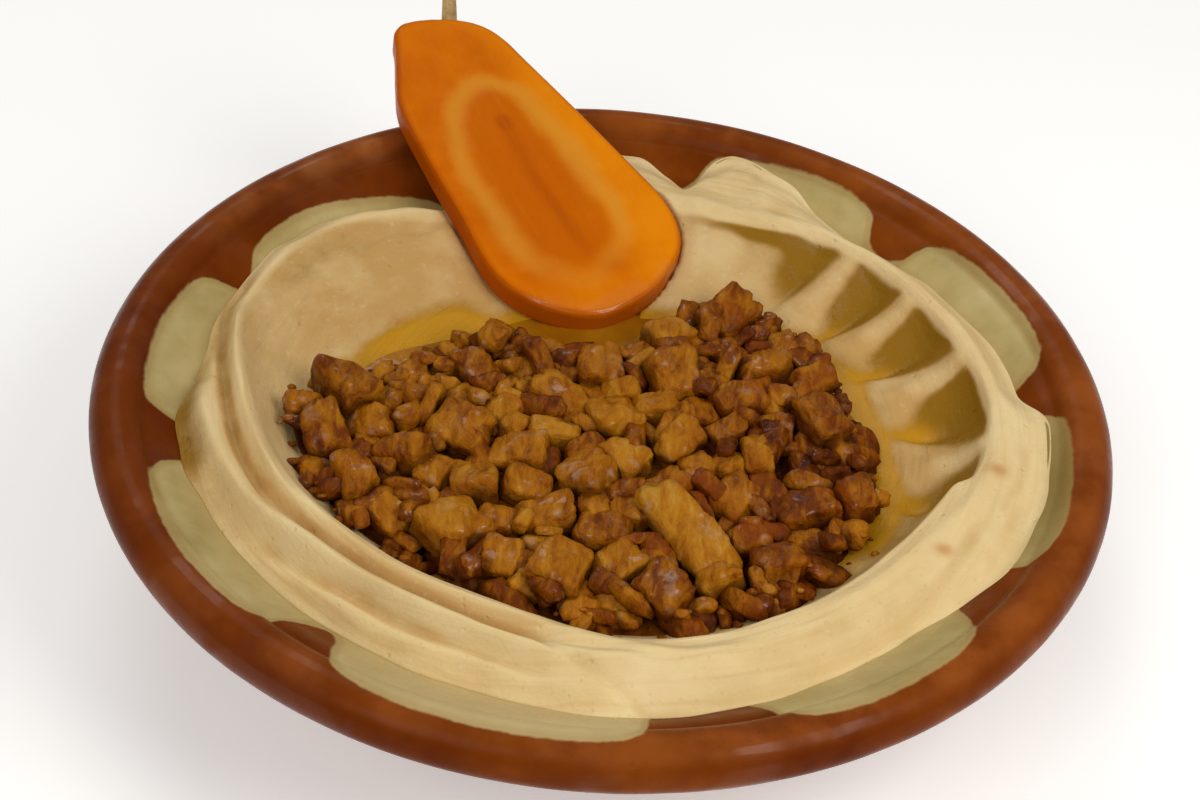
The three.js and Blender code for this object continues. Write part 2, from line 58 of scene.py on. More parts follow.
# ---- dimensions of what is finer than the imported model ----
BOWL_SECTORS, HUMMUS_SECTORS, CARROT_SECTORS = 480, 480, 360
PETAL_MIDDLE = 78  # usual reach of the petals of glaze
# Bits between the chopped pieces and crumbs round the heap: how many, their sizes and where they may lie.
SMALL_BITS, LARGEST_BIT, SMALLEST_BIT, BIT_TOP, BIT_OFF_CARROT = 250, 8, 3.6, 38.4, 0.6
CRUMBS, CRUMB_TOP, CRUMB_OFF_CARROT = 110, 34, 1.5


# ---- curves and noise ----
def through(points, period=0):
    """A smooth curve through points (x, y) that doesn't overshoot. With a period it closes."""
    x, y = np.array(points, float).T
    start = x[0]
    if period:
        x = np.concatenate([x[-1:] - period, x, x[:2] + period])
        y = np.concatenate([y[-1:], y, y[:2]])
    steep = np.diff(y) / np.diff(x)
    before, after = steep[:-1], steep[1:]
    total = np.where(before * after > 0, before + after, 1)
    tangent = np.concatenate([[0], np.where(before * after > 0, 2 * before * after / total, 0), [0]])

    def curve(at):
        at = np.asarray(at, float)
        if period:
            at = start + np.mod(at - start, period)
        i = np.clip(np.searchsorted(x, at, side="right") - 1, 0, len(x) - 2)
        span = x[i + 1] - x[i]
        t = np.clip((at - x[i]) / span, 0, 1)
        rise = y[i] + (y[i + 1] - y[i]) * (3 - 2 * t) * t * t
        return rise + span * t * (1 - t) * (tangent[i] * (1 - t) - tangent[i + 1] * t)
    return curve


def smooth(at, low, high):
    t = np.clip((at - low) / (high - low), 0, 1)
    return t * t * (3 - 2 * t)


def hill(distance, width):
    return np.exp(-(distance / width) ** 2)


def apart(a, b):
    return np.mod(a - b + 180, 360) - 180


def facing(deg, direction, width):
    """1 in a direction, less beside it."""
    return hill(apart(deg, direction), width)


def polar(x, y, middle=(0, 0)):
    """Direction and distance of a place from a middle."""
    x, y = x - middle[0], y - middle[1]
    return np.degrees(np.arctan2(y, x)), np.hypot(x, y)


def spoke(deg, distance, middle=(0, 0)):
    """The place in a direction and at a distance from a middle."""
    turn = np.radians(deg)
    return middle[0] + distance * np.cos(turn), middle[1] + distance * np.sin(turn)


def all_round(sectors):
    """Evenly spread directions."""
    return np.arange(sectors) * 360 / sectors


def joined(*axes):
    """Points from an array or a number for each axis."""
    return np.stack(np.broadcast_arrays(*axes), -1)


def lower_of(a, b, blend):
    h = np.clip(0.5 + 0.5 * (b - a) / blend, 0, 1)
    return b + (a - b) * h - blend * h * (1 - h)


def grain(points, size, seed=0):
    """Smooth noise from -1 to 1 at points (N, 3), with features of about that size."""
    p = np.asarray(points, float) / size + 31.7 * (seed + 1)
    cell = np.floor(p).astype(np.int64)
    f = p - cell
    f = f * f * f * (f * (f * 6 - 15) + 10)

    def value(dx, dy, dz):
        h = (cell[..., 0] + dx) * 73856093 ^ (cell[..., 1] + dy) * 19349663 ^ (cell[..., 2] + dz) * 83492791
        h = (h & 0x7FFFFFFF) * 1103515245 + 12345 + seed * 7919
        h = ((h >> 11) ^ h) & 0x7FFFFFFF
        h = (h * 69069 + 1) & 0x7FFFFFFF
        return ((h >> 8) & 0xFFFF) / 32767.5 - 1

    def mix(a, b, axis):
        return a + (b - a) * f[..., axis]

    def level(dz):
        return mix(mix(value(0, 0, dz), value(1, 0, dz), 0), mix(value(0, 1, dz), value(1, 1, dz), 0), 1)
    return mix(level(0), level(1), 2)


def rough(points, size, seed=0, octaves=3):
    return sum(grain(points, size / 2 ** n, seed + n) / 2 ** n for n in range(octaves)) / 1.75


def seeded(seed):
    """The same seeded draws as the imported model's."""
    state = [seed]
    mask = 0xFFFFFFFF

    def draw():
        state[0] = (state[0] + 0x6D2B79F5) & mask
        t = ((state[0] ^ (state[0] >> 15)) * (1 | state[0])) & mask
        t = ((t + (((t ^ (t >> 7)) * (61 | t)) & mask)) & mask) ^ t
        return (t ^ (t >> 14)) / 4294967296
    return draw


# ---- meshes ----
def make(name, points, faces, material, attributes=None):
    """A smooth-shaded piece that rides on the bowl, from millimetre points."""
    mesh = bpy.data.meshes.new(name)
    mesh.from_pydata((np.asarray(points) * 0.001).tolist(), [], faces)
    mesh.polygons.foreach_set("use_smooth", np.ones(len(mesh.polygons), bool))
    for key, values in (attributes or {}).items():
        mesh.attributes.new(key, "FLOAT", "POINT").data.foreach_set("value", np.asarray(values, np.float32))
    mesh.materials.append(material)
    mesh.update()
    piece = placed(name, mesh)
    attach(piece, "root")
    return piece


def placed(name, data):
    """An object of the scene that holds a mesh, a light or a camera."""
    thing = bpy.data.objects.new(name, data)
    bpy.context.scene.collection.objects.link(thing)
    return thing


def closed_skin(rows, first, last, turned=False):
    """Points and faces of a skin of rings, closed by a fan round a middle point at each end.

    The rings are counterclockwise and run outwards on top. A turned skin runs outwards underneath.
    """
    rings = np.array(rows)
    count, sectors = rings.shape[:2]
    here = np.arange(count * sectors).reshape(count, sectors)
    ahead = np.roll(here, -1, axis=1)
    faces = np.stack([here[:-1], here[1:], ahead[1:], ahead[:-1]], -1).reshape(-1, 4).tolist()
    faces += np.column_stack([np.full(sectors, here.size), here[0], ahead[0]]).tolist()
    faces += np.column_stack([ahead[-1], here[-1], np.full(sectors, here.size + 1)]).tolist()
    if turned:
        faces = [face[::-1] for face in faces]
    return np.concatenate([rings.reshape(-1, 3), [first, last]]), faces


def ball(level):
    """Points and triangles of a unit icosphere."""
    bm = bmesh.new()
    bmesh.ops.create_icosphere(bm, subdivisions=level, radius=1)
    points = np.array([v.co[:] for v in bm.verts])
    faces = np.array([[v.index for v in f.verts] for f in bm.faces])
    bm.free()
    return points, faces


# ---- materials ----
class Shader:
    """A node material, written as nested calls."""

    def __init__(self, name):
        self.material = bpy.data.materials.new(name)
        self.material.use_nodes = True
        self.tree = self.material.node_tree
        self.surface = self.tree.nodes["Principled BSDF"]
        self.place = self.node("ShaderNodeTexCoord", {}).outputs["Object"]

    def node(self, kind, inputs, **settings):
        node = self.tree.nodes.new(kind)
        for key, value in settings.items():
            setattr(node, key, value)
        for key, value in inputs.items():
            self.put(node, key, value)
        return node

    def put(self, node, key, value):
        socket = node.inputs[key]
        if isinstance(value, bpy.types.NodeSocket):
            self.tree.links.new(value, socket)
        else:
            socket.default_value = value

    def set(self, **values):
        for key, value in values.items():
            self.put(self.surface, key.replace("_", " "), value)

    def attribute(self, name):
        return self.node("ShaderNodeAttribute", {}, attribute_name=name).outputs["Fac"]

    def vector(self, x, y, z=0.0):
        return self.node("ShaderNodeCombineXYZ", {"X": x, "Y": y, "Z": z}).outputs["Vector"]

    def stretched(self, vector, scale):
        return self.node("ShaderNodeMapping", {"Vector": vector, "Scale": scale}).outputs["Vector"]

    def noise(self, size, detail=3.0, roughness=0.55, distortion=0.0, at=None):
        """Noise from 0 to 1 with features of that many millimetres."""
        inputs = {"Vector": at or self.place, "Scale": 1000 / size, "Detail": detail,
                  "Roughness": roughness, "Distortion": distortion}
        return self.node("ShaderNodeTexNoise", inputs).outputs["Fac"]

    def cells(self, size):
        """Distance from the middles of cells of that many millimetres."""
        node = self.node("ShaderNodeTexVoronoi", {"Vector": self.place, "Scale": 1000 / size})
        return node.outputs["Distance"]

    def ramp(self, fac, *stops):
        """Colour by a factor, from stops (position, colour)."""
        node = self.node("ShaderNodeValToRGB", {"Fac": fac})
        elements = node.color_ramp.elements
        while len(elements) < len(stops):
            elements.new(0.5)
        for element, (position, colour) in zip(elements, stops):
            element.position = position
            element.color = colour + (1,)
        return node.outputs["Color"]

    def math(self, operation, a, b, c=0.0):
        return self.node("ShaderNodeMath", {0: a, 1: b, 2: c}, operation=operation).outputs[0]

    def times(self, a, b):
        return self.math("MULTIPLY", a, b)

    def span(self, value, low, high, to_low=0.0, to_high=1.0):
        inputs = {"Value": value, "From Min": low, "From Max": high, "To Min": to_low, "To Max": to_high}
        return self.node("ShaderNodeMapRange", inputs, interpolation_type="SMOOTHSTEP").outputs["Result"]

    def mix(self, fac, a, b):
        a, b = (value + (1,) if isinstance(value, tuple) else value for value in (a, b))
        return self.node("ShaderNodeMix", {0: fac, 6: a, 7: b}, data_type="RGBA").outputs[2]

    def tint(self, base, colour, mark, strength):
        """The base with a colour over it, at that strength where the mark is 1."""
        return self.mix(self.times(mark, strength), base, colour)

    def bump(self, height, distance):
        """Bump whose height of 1 is that many millimetres."""
        node = self.node("ShaderNodeBump", {"Height": height, "Distance": distance * 0.001})
        return node.outputs["Normal"]


def glaze_material():
    """Brown glaze, thin and rusty on the lip, with pale green petals marked by the patch attribute; painted
    shade at the left and on the right petal, a painted highlight on the back-left lip, and paler front
    petals as painted light.
    """
    s = Shader("bowl_glaze")
    brown = s.ramp(s.noise(26, 4, 0.6), (0.3, (0.1, 0.015, 0.001)), (0.52, (0.17, 0.034, 0.002)),
                   (0.72, (0.26, 0.064, 0.006)))
    lip = s.span(s.attribute("lip"), 0.0, 1.0)
    thin = s.times(lip, s.span(s.noise(9, 3), 0.35, 0.75, 0.25, 1.0))
    brown = s.tint(brown, (0.33, 0.085, 0.014), thin, 0.75)
    # Painted highlight: a broken light tan streak on the top of the lip at the back left.
    painted_lip_highlight = s.times(s.attribute("painted_lip_highlight"), s.span(s.noise(11, 3), 0.35, 0.65))
    brown = s.tint(brown, (0.42, 0.15, 0.045), painted_lip_highlight, 0.7)
    # Painted shade: the brown made darker towards the left of the bowl, the side turned from the light.
    brown = s.tint(brown, (0.1, 0.012, 0.0005), s.attribute("painted_shade"), 0.5)
    speck = s.span(s.cells(1.7), 0.0, 0.16, 1.0, 0.0)
    brown = s.tint(brown, (0.05, 0.01, 0.003), speck, 0.35)
    green = s.ramp(s.noise(14, 4, 0.6), (0.3, (0.39, 0.295, 0.11)), (0.5, (0.475, 0.37, 0.15)),
                   (0.72, (0.56, 0.45, 0.205)))
    # Painted light: the petals at the front made paler, as if better lit.
    green = s.tint(green, (0.68, 0.52, 0.26), s.attribute("pale"), 0.6)
    # Painted shadow: the green petal on the right darkened to olive brown.
    green = s.tint(green, (0.23, 0.145, 0.035), s.attribute("painted_shadow_right"), 0.85)
    green = s.tint(green, (0.25, 0.17, 0.06), speck, 0.2)
    edge = s.math("ADD", s.attribute("patch"), s.span(s.noise(2.2, 2), 0.2, 0.8, -0.14, 0.14))
    inside = s.span(edge, -0.3, 0.35)
    rim = s.times(s.span(edge, -0.3, 0.5), s.span(edge, 2.2, 0.4))
    green = s.tint(green, (0.34, 0.2, 0.055), rim, 0.45)
    clay = s.attribute("clay")
    s.set(Base_Color=s.mix(clay, s.mix(inside, brown, green), (0.4, 0.19, 0.09)))
    s.set(Roughness=s.mix(clay, s.span(s.noise(7, 3), 0.3, 0.7, 0.2, 0.34), (0.8, 0.8, 0.8)))
    waves = s.math("MULTIPLY_ADD", s.noise(6, 3), 0.5, s.times(inside, 0.5))
    glints = s.span(s.noise(15, 3), 0.5, 0.62, 0.0, 0.2)
    s.set(Normal=s.bump(waves, 0.24), Specular_IOR_Level=0.035, Coat_Weight=glints, Coat_Roughness=0.08)
    return s.material


def hummus_material():
    """Cream paste with spoon streaks, fine grain and air holes, stained gold where the oil wets it, with
    painted shade in its air holes, furrows and flutes and on its shaded slopes.
    """
    s = Shader("hummus")
    base = s.ramp(s.noise(22, 4, 0.6), (0.3, (0.74, 0.53, 0.24)), (0.5, (0.81, 0.61, 0.3)),
                  (0.7, (0.87, 0.68, 0.36)))
    # The tan tint, partly painted shade on the shaded slopes, in the furrows and at the left edge.
    tan_and_shade = s.times(s.attribute("tan_and_shade"), s.span(s.noise(13, 4, 0.6), 0.3, 0.7, 0.6, 1.1))
    base = s.mix(tan_and_shade, base, (0.58, 0.345, 0.115))
    along = s.vector(s.attribute("sweep_x"), s.attribute("reach"), s.attribute("sweep_y"))
    smear = s.times(s.span(s.noise(2.8, 3, 0.55, at=along), 0.47, 0.66), s.attribute("swept"))
    base = s.tint(base, (0.62, 0.39, 0.14), smear, 0.55)
    base = s.tint(base, (0.55, 0.24, 0.06), s.attribute("drop"), 0.75)
    # Painted shade: small darker spots standing for shade in the air holes.
    base = s.tint(base, (0.45, 0.28, 0.11), s.span(s.cells(2.1), 0.05, 0.2, 1.0, 0.0), 0.16)
    base = s.tint(base, (0.82, 0.7, 0.48), s.span(s.noise(1.6, 2), 0.6, 0.78), 0.25)
    # The oil stain, partly painted shade in the flutes, under the crests, in the left groove and along the
    # left edge.
    oil_stain_and_shade = s.math("ADD", s.attribute("oil_stain_and_shade"), s.span(s.noise(7, 3, 0.6), 0.25, 0.75, -0.13, 0.13))
    oiled = s.mix(s.attribute("gold"), (0.3, 0.145, 0.006), (0.56, 0.27, 0.009))
    s.set(Base_Color=s.mix(s.span(oil_stain_and_shade, 0.12, 0.9), base, oiled))
    s.set(Roughness=s.span(oil_stain_and_shade, 0.1, 0.6, 0.5, 0.3))
    streaks = s.noise(1.5, 3, 0.55, 0.3, along)
    height = s.math("MULTIPLY_ADD", streaks, 0.55, s.times(s.noise(0.8, 3, 0.6), 0.3))
    height = s.math("MULTIPLY_ADD", s.span(s.cells(4.2), 0.03, 0.13), 0.35, height)
    s.set(Normal=s.bump(height, 0.42), Specular_IOR_Level=0.17)
    s.set(Subsurface_Weight=0.12, Subsurface_Scale=0.003, Subsurface_Radius=(1.0, 0.6, 0.3))
    return s.material


def meat_material(name):
    """Moist fried meat: brown with tan and rusty parts, fibres, pale fat with painted sheen on the tops,
    and painted shade low in the heap and between the pieces.
    """
    s = Shader(name)
    tone, top = s.attribute("tone"), s.attribute("top")
    fibre = s.noise(2.2, 4, 0.62, 0.5, s.stretched(s.place, (1.0, 0.3, 1.0)))
    shade = s.math("MULTIPLY_ADD", fibre, 0.7, 0.15)
    shade = s.math("MULTIPLY_ADD", s.math("SUBTRACT", tone, 0.5), 0.36, shade)
    colour = s.ramp(shade, (0.2, (0.05, 0.008, 0.0005)), (0.36, (0.17, 0.038, 0.001)),
                    (0.5, (0.36, 0.12, 0.003)), (0.64, (0.475, 0.195, 0.011)), (0.84, (0.6, 0.34, 0.06)))
    rust = s.times(s.span(s.noise(8, 3), 0.47, 0.7), s.attribute("red"))
    colour = s.tint(colour, (0.28, 0.055, 0.002), rust, 0.6)
    # Pale fat and painted sheen: light lavender tan spots on the tops of the pieces.
    fat_and_sheen = s.times(s.span(s.noise(3.8, 2), 0.6, 0.76), top)
    colour = s.tint(colour, (0.5, 0.34, 0.24), fat_and_sheen, s.span(tone, 0.1, 0.6, 0.15, 0.6))
    # Painted shade: the meat made almost black low in the heap and in the gaps under higher pieces.
    colour = s.tint(colour, (0.05, 0.009, 0.0008), s.attribute("low"), 0.85)
    s.set(Base_Color=colour, Roughness=s.span(s.noise(2.4, 3), 0.3, 0.7, 0.3, 0.55))
    height = s.math("MULTIPLY_ADD", fibre, 0.7, s.times(s.noise(0.7, 3, 0.6), 0.3))
    s.set(Normal=s.bump(height, 0.75), Specular_IOR_Level=0.08)
    s.set(Subsurface_Weight=0.05, Subsurface_Scale=0.0015)
    glint = s.times(s.span(s.noise(3.2, 2), 0.56, 0.64), top)
    s.set(Coat_Weight=s.times(glint, 0.6), Coat_Roughness=0.16)
    return s.material


def oil_material():
    """Clear golden oil, a little cloudy."""
    s = Shader("oil")
    gold = s.ramp(s.noise(13, 3), (0.3, (0.4, 0.13, 0.003)), (0.55, (0.54, 0.21, 0.006)),
                  (0.75, (0.66, 0.31, 0.012)))
    s.set(Base_Color=gold, Roughness=s.span(s.noise(8, 2), 0.3, 0.7, 0.04, 0.1), IOR=1.47)
    s.set(Transmission_Weight=0.35, Normal=s.bump(s.noise(5, 2), 0.12), Specular_IOR_Level=0.12)
    return s.material


def carrot_material():
    """Cooked carrot, cut lengthwise: an ochre ring round a redder core, and a dull red skin, with painted
    light making the flesh lighter on the right and at the low end.
    """
    s = Shader("carrot")
    length = s.vector(s.attribute("across"), s.attribute("along"))
    strand = s.noise(1.5, 4, 0.6, 0.4, s.stretched(length, (1.0, 0.09, 1.0)))
    cloud = s.noise(11, 3)
    # Painted light and shade: a darker copy of the flesh for the shaded left and a lighter one where the
    # slice is lit.
    painted_shade = s.ramp(cloud, (0.3, (0.6, 0.125, 0.0005)), (0.52, (0.68, 0.155, 0.0005)),
                  (0.75, (0.74, 0.19, 0.001)))
    painted_lit_flesh = s.ramp(cloud, (0.3, (0.78, 0.21, 0.001)), (0.75, (0.86, 0.27, 0.003)))
    flesh = s.mix(s.attribute("lit"), painted_shade, painted_lit_flesh)
    ring_at = s.math("ADD", s.attribute("ring"), s.span(cloud, 0.25, 0.75, -1.2, 1.2))
    colour = s.tint(flesh, (0.58, 0.12, 0.0005), s.span(ring_at, 0.6, 5.0), 0.75)
    ring = s.times(s.span(ring_at, -3.6, 0.3), s.span(ring_at, 4.4, 0.5))
    colour = s.tint(colour, (0.72, 0.31, 0.03), s.times(ring, s.attribute("band")), 0.62)
    vein = s.times(s.span(s.attribute("vein"), 0.1, 1.0), s.span(strand, 0.3, 0.7, 0.5, 1.0))
    colour = s.tint(colour, (0.4, 0.06, 0.0005), vein, 0.6)
    colour = s.tint(colour, (0.76, 0.3, 0.03), s.span(strand, 0.5, 0.85), 0.16)
    colour = s.tint(colour, (0.4, 0.06, 0.0005), s.attribute("side"), 0.65)
    s.set(Base_Color=colour, Roughness=s.span(s.noise(5, 3), 0.3, 0.7, 0.25, 0.42))
    height = s.math("MULTIPLY_ADD", strand, 0.6, s.times(s.noise(1.2, 3), 0.4))
    s.set(Normal=s.bump(height, 0.14), Specular_IOR_Level=0.03)
    s.set(Subsurface_Weight=0.12, Subsurface_Scale=0.003, Subsurface_Radius=(1.0, 0.35, 0.1))
    wet = s.times(s.attribute("wet"), s.span(s.noise(7, 3), 0.42, 0.6))
    s.set(Coat_Weight=s.times(wet, 0.9), Coat_Roughness=0.13)
    return s.material


def stub_material():
    """Dry, straw-brown stalk."""
    s = Shader("carrot_stub")
    straw = s.ramp(s.noise(2.0, 4, 0.6), (0.3, (0.33, 0.19, 0.05)), (0.7, (0.58, 0.38, 0.14)))
    s.set(Base_Color=straw, Roughness=0.6, Normal=s.bump(s.noise(1.0, 3), 0.25))
    return s.material


# ---- bowl ----
wall_height = through([
    (0, 10), (22, 10.6), (38, 13.2), (50, 17.9), (62, 25), (70, 30.6), (75, 34.2), (80.7, 37.4),
])
# How far out the pale petals of glaze reach, by direction.
petal_reach = through([
    (-180, 81.1), (-173, 80.8), (-170.5, 79.7), (-169.2, 77), (-167.5, 71), (-165, 68), (-162.7, 70),
    (-161.2, 74.5), (-160, 77.5), (-159, 79.3), (-157, 81.3), (-152, 82.5), (-146, 83.5), (-140, 84),
    (-133, 84), (-129.6, 83.4), (-128, 81.6), (-127.3, 78.6), (-126.3, 75), (-124, 72.5), (-121.6, 74.5),
    (-120.4, 77.5), (-119.5, 79.6), (-118.4, 81.8), (-117, 83.6), (-114, 85), (-108, 85.8), (-100, 86),
    (-92, 86), (-86, 85.5), (-83.6, 84), (-82.5, 80), (-81.5, 75), (-79, 70.5), (-75, 69), (-71, 71),
    (-69.2, 75), (-68, 79.5), (-66.6, 83.2), (-64, 85), (-58, 85.5), (-50, 85), (-46, 84.6), (-43, 83.5),
    (-41, 82), (-39.3, 79.7), (-37.8, 77), (-36, 74.7), (-33, 73.5), (-30, 74.7), (-28.2, 77.4),
    (-27.2, 80), (-25.6, 82.2), (-20, 83.4), (-12, 82.8), (-4, 82.2), (0, 81.8), (1.8, 80.8), (3, 78.3),
    (4.2, 75), (6.5, 73), (9, 74.5), (10.4, 77.2), (11.5, 79.2), (13, 80.8), (15, 81.8), (20, 82.2),
    (30, 82), (38, 81.3), (40.3, 80.3), (41.5, 77.8), (42.7, 75), (45.5, 73.5), (48.3, 74.7), (49.8, 77),
    (51, 79.2), (53, 80.5), (57, 81.2), (62, 81.3), (68, 80.9), (74, 80.5), (76.5, 79), (77.9, 76.4),
    (79, 74), (80.5, 72.5), (84, 70.5), (90, 70), (95, 72), (99, 75.5), (103, 77.4), (108, 77),
    (113, 74.6), (116, 71), (119, 70), (122, 72), (128, 74.5), (133, 76), (138, 77.2), (143, 77.9),
    (149, 77.8), (153, 76.9), (155.2, 75.3), (158.8, 73), (160.5, 74.6), (161.5, 77), (162.6, 79),
    (164.4, 80.3), (168, 80.8), (174, 81.2),
], 360)
GLAZE_START, WALL_END, INSIDE_START = 6, 46, 60  # rings of the bowl, counted from the foot


def bowl_profile():
    """Radius and height from the middle of the foot out, over the lip and in to the middle."""
    points = [(20, 0), (38, 0), (44.6, 0)]
    for a in np.linspace(0, math.pi / 2, 6):
        points.append((FOOT_RADIUS + 2 * math.sin(a) - 0.6 * (1 - math.sin(a)), 1.4 - 1.4 * math.cos(a)))
    points += [(48.5, 2.6), (49.0, 3.9)]
    outer = [(49.2, 4.6)]
    for radius in (53, 62, 72):
        slope = math.atan(float(wall_height(radius + 0.5) - wall_height(radius - 0.5)))
        out, down = WALL_THICKNESS * math.sin(slope), WALL_THICKNESS * math.cos(slope)
        outer.append((radius + out, float(wall_height(radius)) - down))
    outer.append(spoke(-60, LIP_ROUND, LIP_CENTRE))
    outer_wall = through(outer)
    points += [(r, float(outer_wall(r))) for r in np.linspace(49.4, outer[-1][0], 34)]
    points += [spoke(angle, LIP_ROUND, LIP_CENTRE) for angle in np.linspace(-56, 150, 40)]
    inner = [*np.linspace(80.5, 62, 50), 58, 52, 44, 34, 22, 10]
    return np.array(points + [(r, float(wall_height(r))) for r in inner])


def petal_distance(deg, radius):
    """Distance inside a petal's edge, below zero outside it."""
    step = 0.25
    slope = (petal_reach(deg + step) - petal_reach(deg - step)) / (2 * step * math.pi / 180 * PETAL_MIDDLE)
    return (petal_reach(deg) - radius) / np.sqrt(1 + slope ** 2)


def build_bowl():
    radius, height = bowl_profile().T
    R, D = np.meshgrid(radius, all_round(BOWL_SECTORS), indexing="ij")
    X, Y = spoke(D, R)
    Z = height[:, None] + 0 * R
    ring = np.arange(len(radius))[:, None]
    outside, inside = (ring >= GLAZE_START) & (ring < WALL_END), ring > INSIDE_START
    # Shallow throwing marks on the outside, an uneven wall, and petals that stand a little proud.
    wobble = np.where(outside, 0.16 * np.sin(Z * 2.1 + 0.6 * np.sin(np.radians(D))) - 0.16, 0)
    wobble = wobble + np.where(Z > 6, 0.12 * (rough(joined(X, Y, Z), 17, 4) - 1), 0)
    X, Y = spoke(D, wobble, (X, Y))
    patch = np.where(inside, petal_distance(D, R), -9)
    Z = Z + np.where(inside, 0.12 * smooth(patch, -0.6, 1.2), 0)
    points, faces = closed_skin(joined(X, Y, Z), (0, 0, 0), (0, 0, float(wall_height(0))), turned=True)
    marks = {  # value by ring and direction, then at the middle of the foot and of the inside
        "patch": (patch, -9, 9),
        "lip": (hill(Z - BOWL_HEIGHT - 0.5, 2.2) * (R > 80), 0, 0),
        "clay": (1.0 * (ring < GLAZE_START) + 0 * R, 1, 0),
        # painted shade, darkest towards the left
        "painted_shade": (facing(D, -172, 48), 0, 0),
        # painted light on the front petals
        "pale": (facing(D, -96, 24), 0, 0),
        # painted shadow on the right-hand petal
        "painted_shadow_right": (facing(D, -10, 15), 0, 0),
        # painted highlight on the back-left lip
        "painted_lip_highlight": (facing(D, 128, 24) * hill(R - 84.5, 3) * inside, 0, 0),
    }
    attributes = {key: np.append(values, ends) for key, (values, *ends) in marks.items()}
    bowl = make("bowl_fine", points, faces, glaze_material(), attributes)
    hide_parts("bowl")


# ---- hummus ----
crest_radius = through([
    (-180, 64.4), (-170, 62), (-160, 60.6), (-149, 59.2), (-139, 58), (-125, 56.6), (-111, 56.2),
    (-98, 57.8), (-84, 61), (-72, 61.4), (-56, 60.6), (-38, 60.6), (-29, 61.2), (-20, 62.4), (-16.5, 63),
    (-13, 65.8), (-4, 67.4), (3, 68), (10, 67.7), (18, 66.8), (29, 66), (40, 65.6), (49, 65), (56, 63.5),
    (67, 60.3), (76, 58.5), (88, 62), (104, 60), (116, 59), (127, 62), (133, 65), (141, 68.6), (150, 70.2),
    (163, 69.6), (173, 66.8),
], 360)
crest_height = through([
    (-100, 37.4), (-40, 37.6), (20, 37.8), (60, 37.2), (77, 36.6), (90, 37.2), (100, 35.8), (112, 35.2),
    (128, 37), (150, 37.8),
], 360)
foot_radius = through([
    (-165, 51), (-130, 48), (-100, 49), (-60, 51), (-35, 51), (-14, 53), (5, 51), (25, 47), (45, 44),
    (62, 42), (75, 38), (90, 36), (108, 37), (125, 37), (142, 40), (160, 48), (178, 52),
], 360)
edge_radius = through([
    (-178, 73), (-168, 75), (-152, 73.8), (-140, 72.8), (-130, 72.4), (-119, 71.2), (-108, 71.4),
    (-97, 72.8), (-88, 74.8), (-76, 75.2), (-67, 74.4), (-56, 73), (-46, 73), (-38, 75), (-32, 77),
    (-20, 78.7), (-9, 78.9), (0, 79.4), (9, 75.4), (18, 75.7), (29, 74.9), (40, 74), (48, 72.6),
    (57, 74.6), (66, 78.2), (73.5, 80.2), (76.5, 77.6), (79.5, 71.8), (83, 74), (88, 77), (94, 77),
    (102, 74), (110, 69.6), (122, 67.6), (129, 70.4), (137, 73.6), (150, 74.8), (165, 73.8),
], 360)
# Steepness of the spooned slope just under the crest, by direction.
slope_power = through([
    (-180, 2.2), (-60, 2.2), (-25, 3.6), (5, 4.6), (45, 4.4), (65, 3.4), (85, 2.2), (140, 2),
], 360)
EDGE_ROUND, EDGE_POWER, BAND_BULGE, BAND_FALL = 6.8, 0.8, 0.6, 1.5
SPOON_LINES = [  # height, width, run of (direction, radius)
    (1.2, 1.6, [(-190, 68.6), (-180, 66), (-170, 63.6), (-155, 62), (-134, 59.8), (-109, 58.6), (-88, 62.6),
                (-72, 66)]),
    (-2.6, 1.5, [(-196, 73), (-190, 71), (-184, 69), (-171, 66.2), (-159, 65.2), (-149, 64.2), (-137, 61.8),
                 (-118, 60.6), (-100, 61.6)]),
    (2.1, 2, [(-177, 72), (-166, 70.4), (-157, 69.2), (-148, 68.2), (-137, 65.6), (-126, 64), (-112, 64),
              (-99, 65.2), (-86, 66.6)]),
    (-1.6, 1.3, [(-136, 69), (-122, 66.6), (-108, 66.6), (-96, 68.4)]),
    (1.1, 1.6, [(-136, 71.4), (-126, 69.6), (-115, 68.6), (-101, 69.4), (-88, 71.6)]),
    (-0.9, 1.1, [(-100, 63.2), (-92, 66.8), (-88, 69.4), (-84, 72.6), (-81, 75.4)]),
    (0.8, 2, [(-48, 63.6), (-30, 65), (-14, 68.4), (0, 70.4), (14, 69.8), (40, 68), (56, 65.8), (70, 62.4),
              (84, 62)]),
    (-1.2, 2.2, [(127, 60.6), (136, 63.6), (149, 66.6), (163, 68.4)]),
]
FLUTES = [  # direction, width, height
    (70, 5, 0.8), (52, 3.2, -1.5), (45.5, 3, 0.9), (38, 3.2, -2.4), (31.5, 2.6, 1.1), (23, 3.2, -2.4),
    (15.5, 2.6, 1.2), (5, 4.2, -2.6), (-4.5, 2.6, 1.2), (-15, 3.5, -1.8),
]
LUMPS = [  # x, y, size along x, size along y, height
    (24, 72, 5.5, 5.5, 1.8), (31, 67.5, 5, 5, 1), (27, 63, 3.5, 3.5, 0.5), (40, 62, 4, 4, 0.7),
    (15.5, 50, 2.4, 14, 1.2),
]
OIL_STAINS = [  # golden spots of oil by the meat: x, y, size
    (34.5, 28, 5), (44, 18, 4.5), (48.5, -11, 5.5), (46.5, -19, 5), (-39, 19, 4.5), (-35, 24, 5),
    (-29, 28, 5),
]
OIL_DROPS = [  # small orange drops on the paste: x, y, size
    (-39.5, 25, 1.6), (-36, 21.5, 1.2), (68.5, -14, 1.9), (58, -35, 1.7), (43, -39, 1),
]


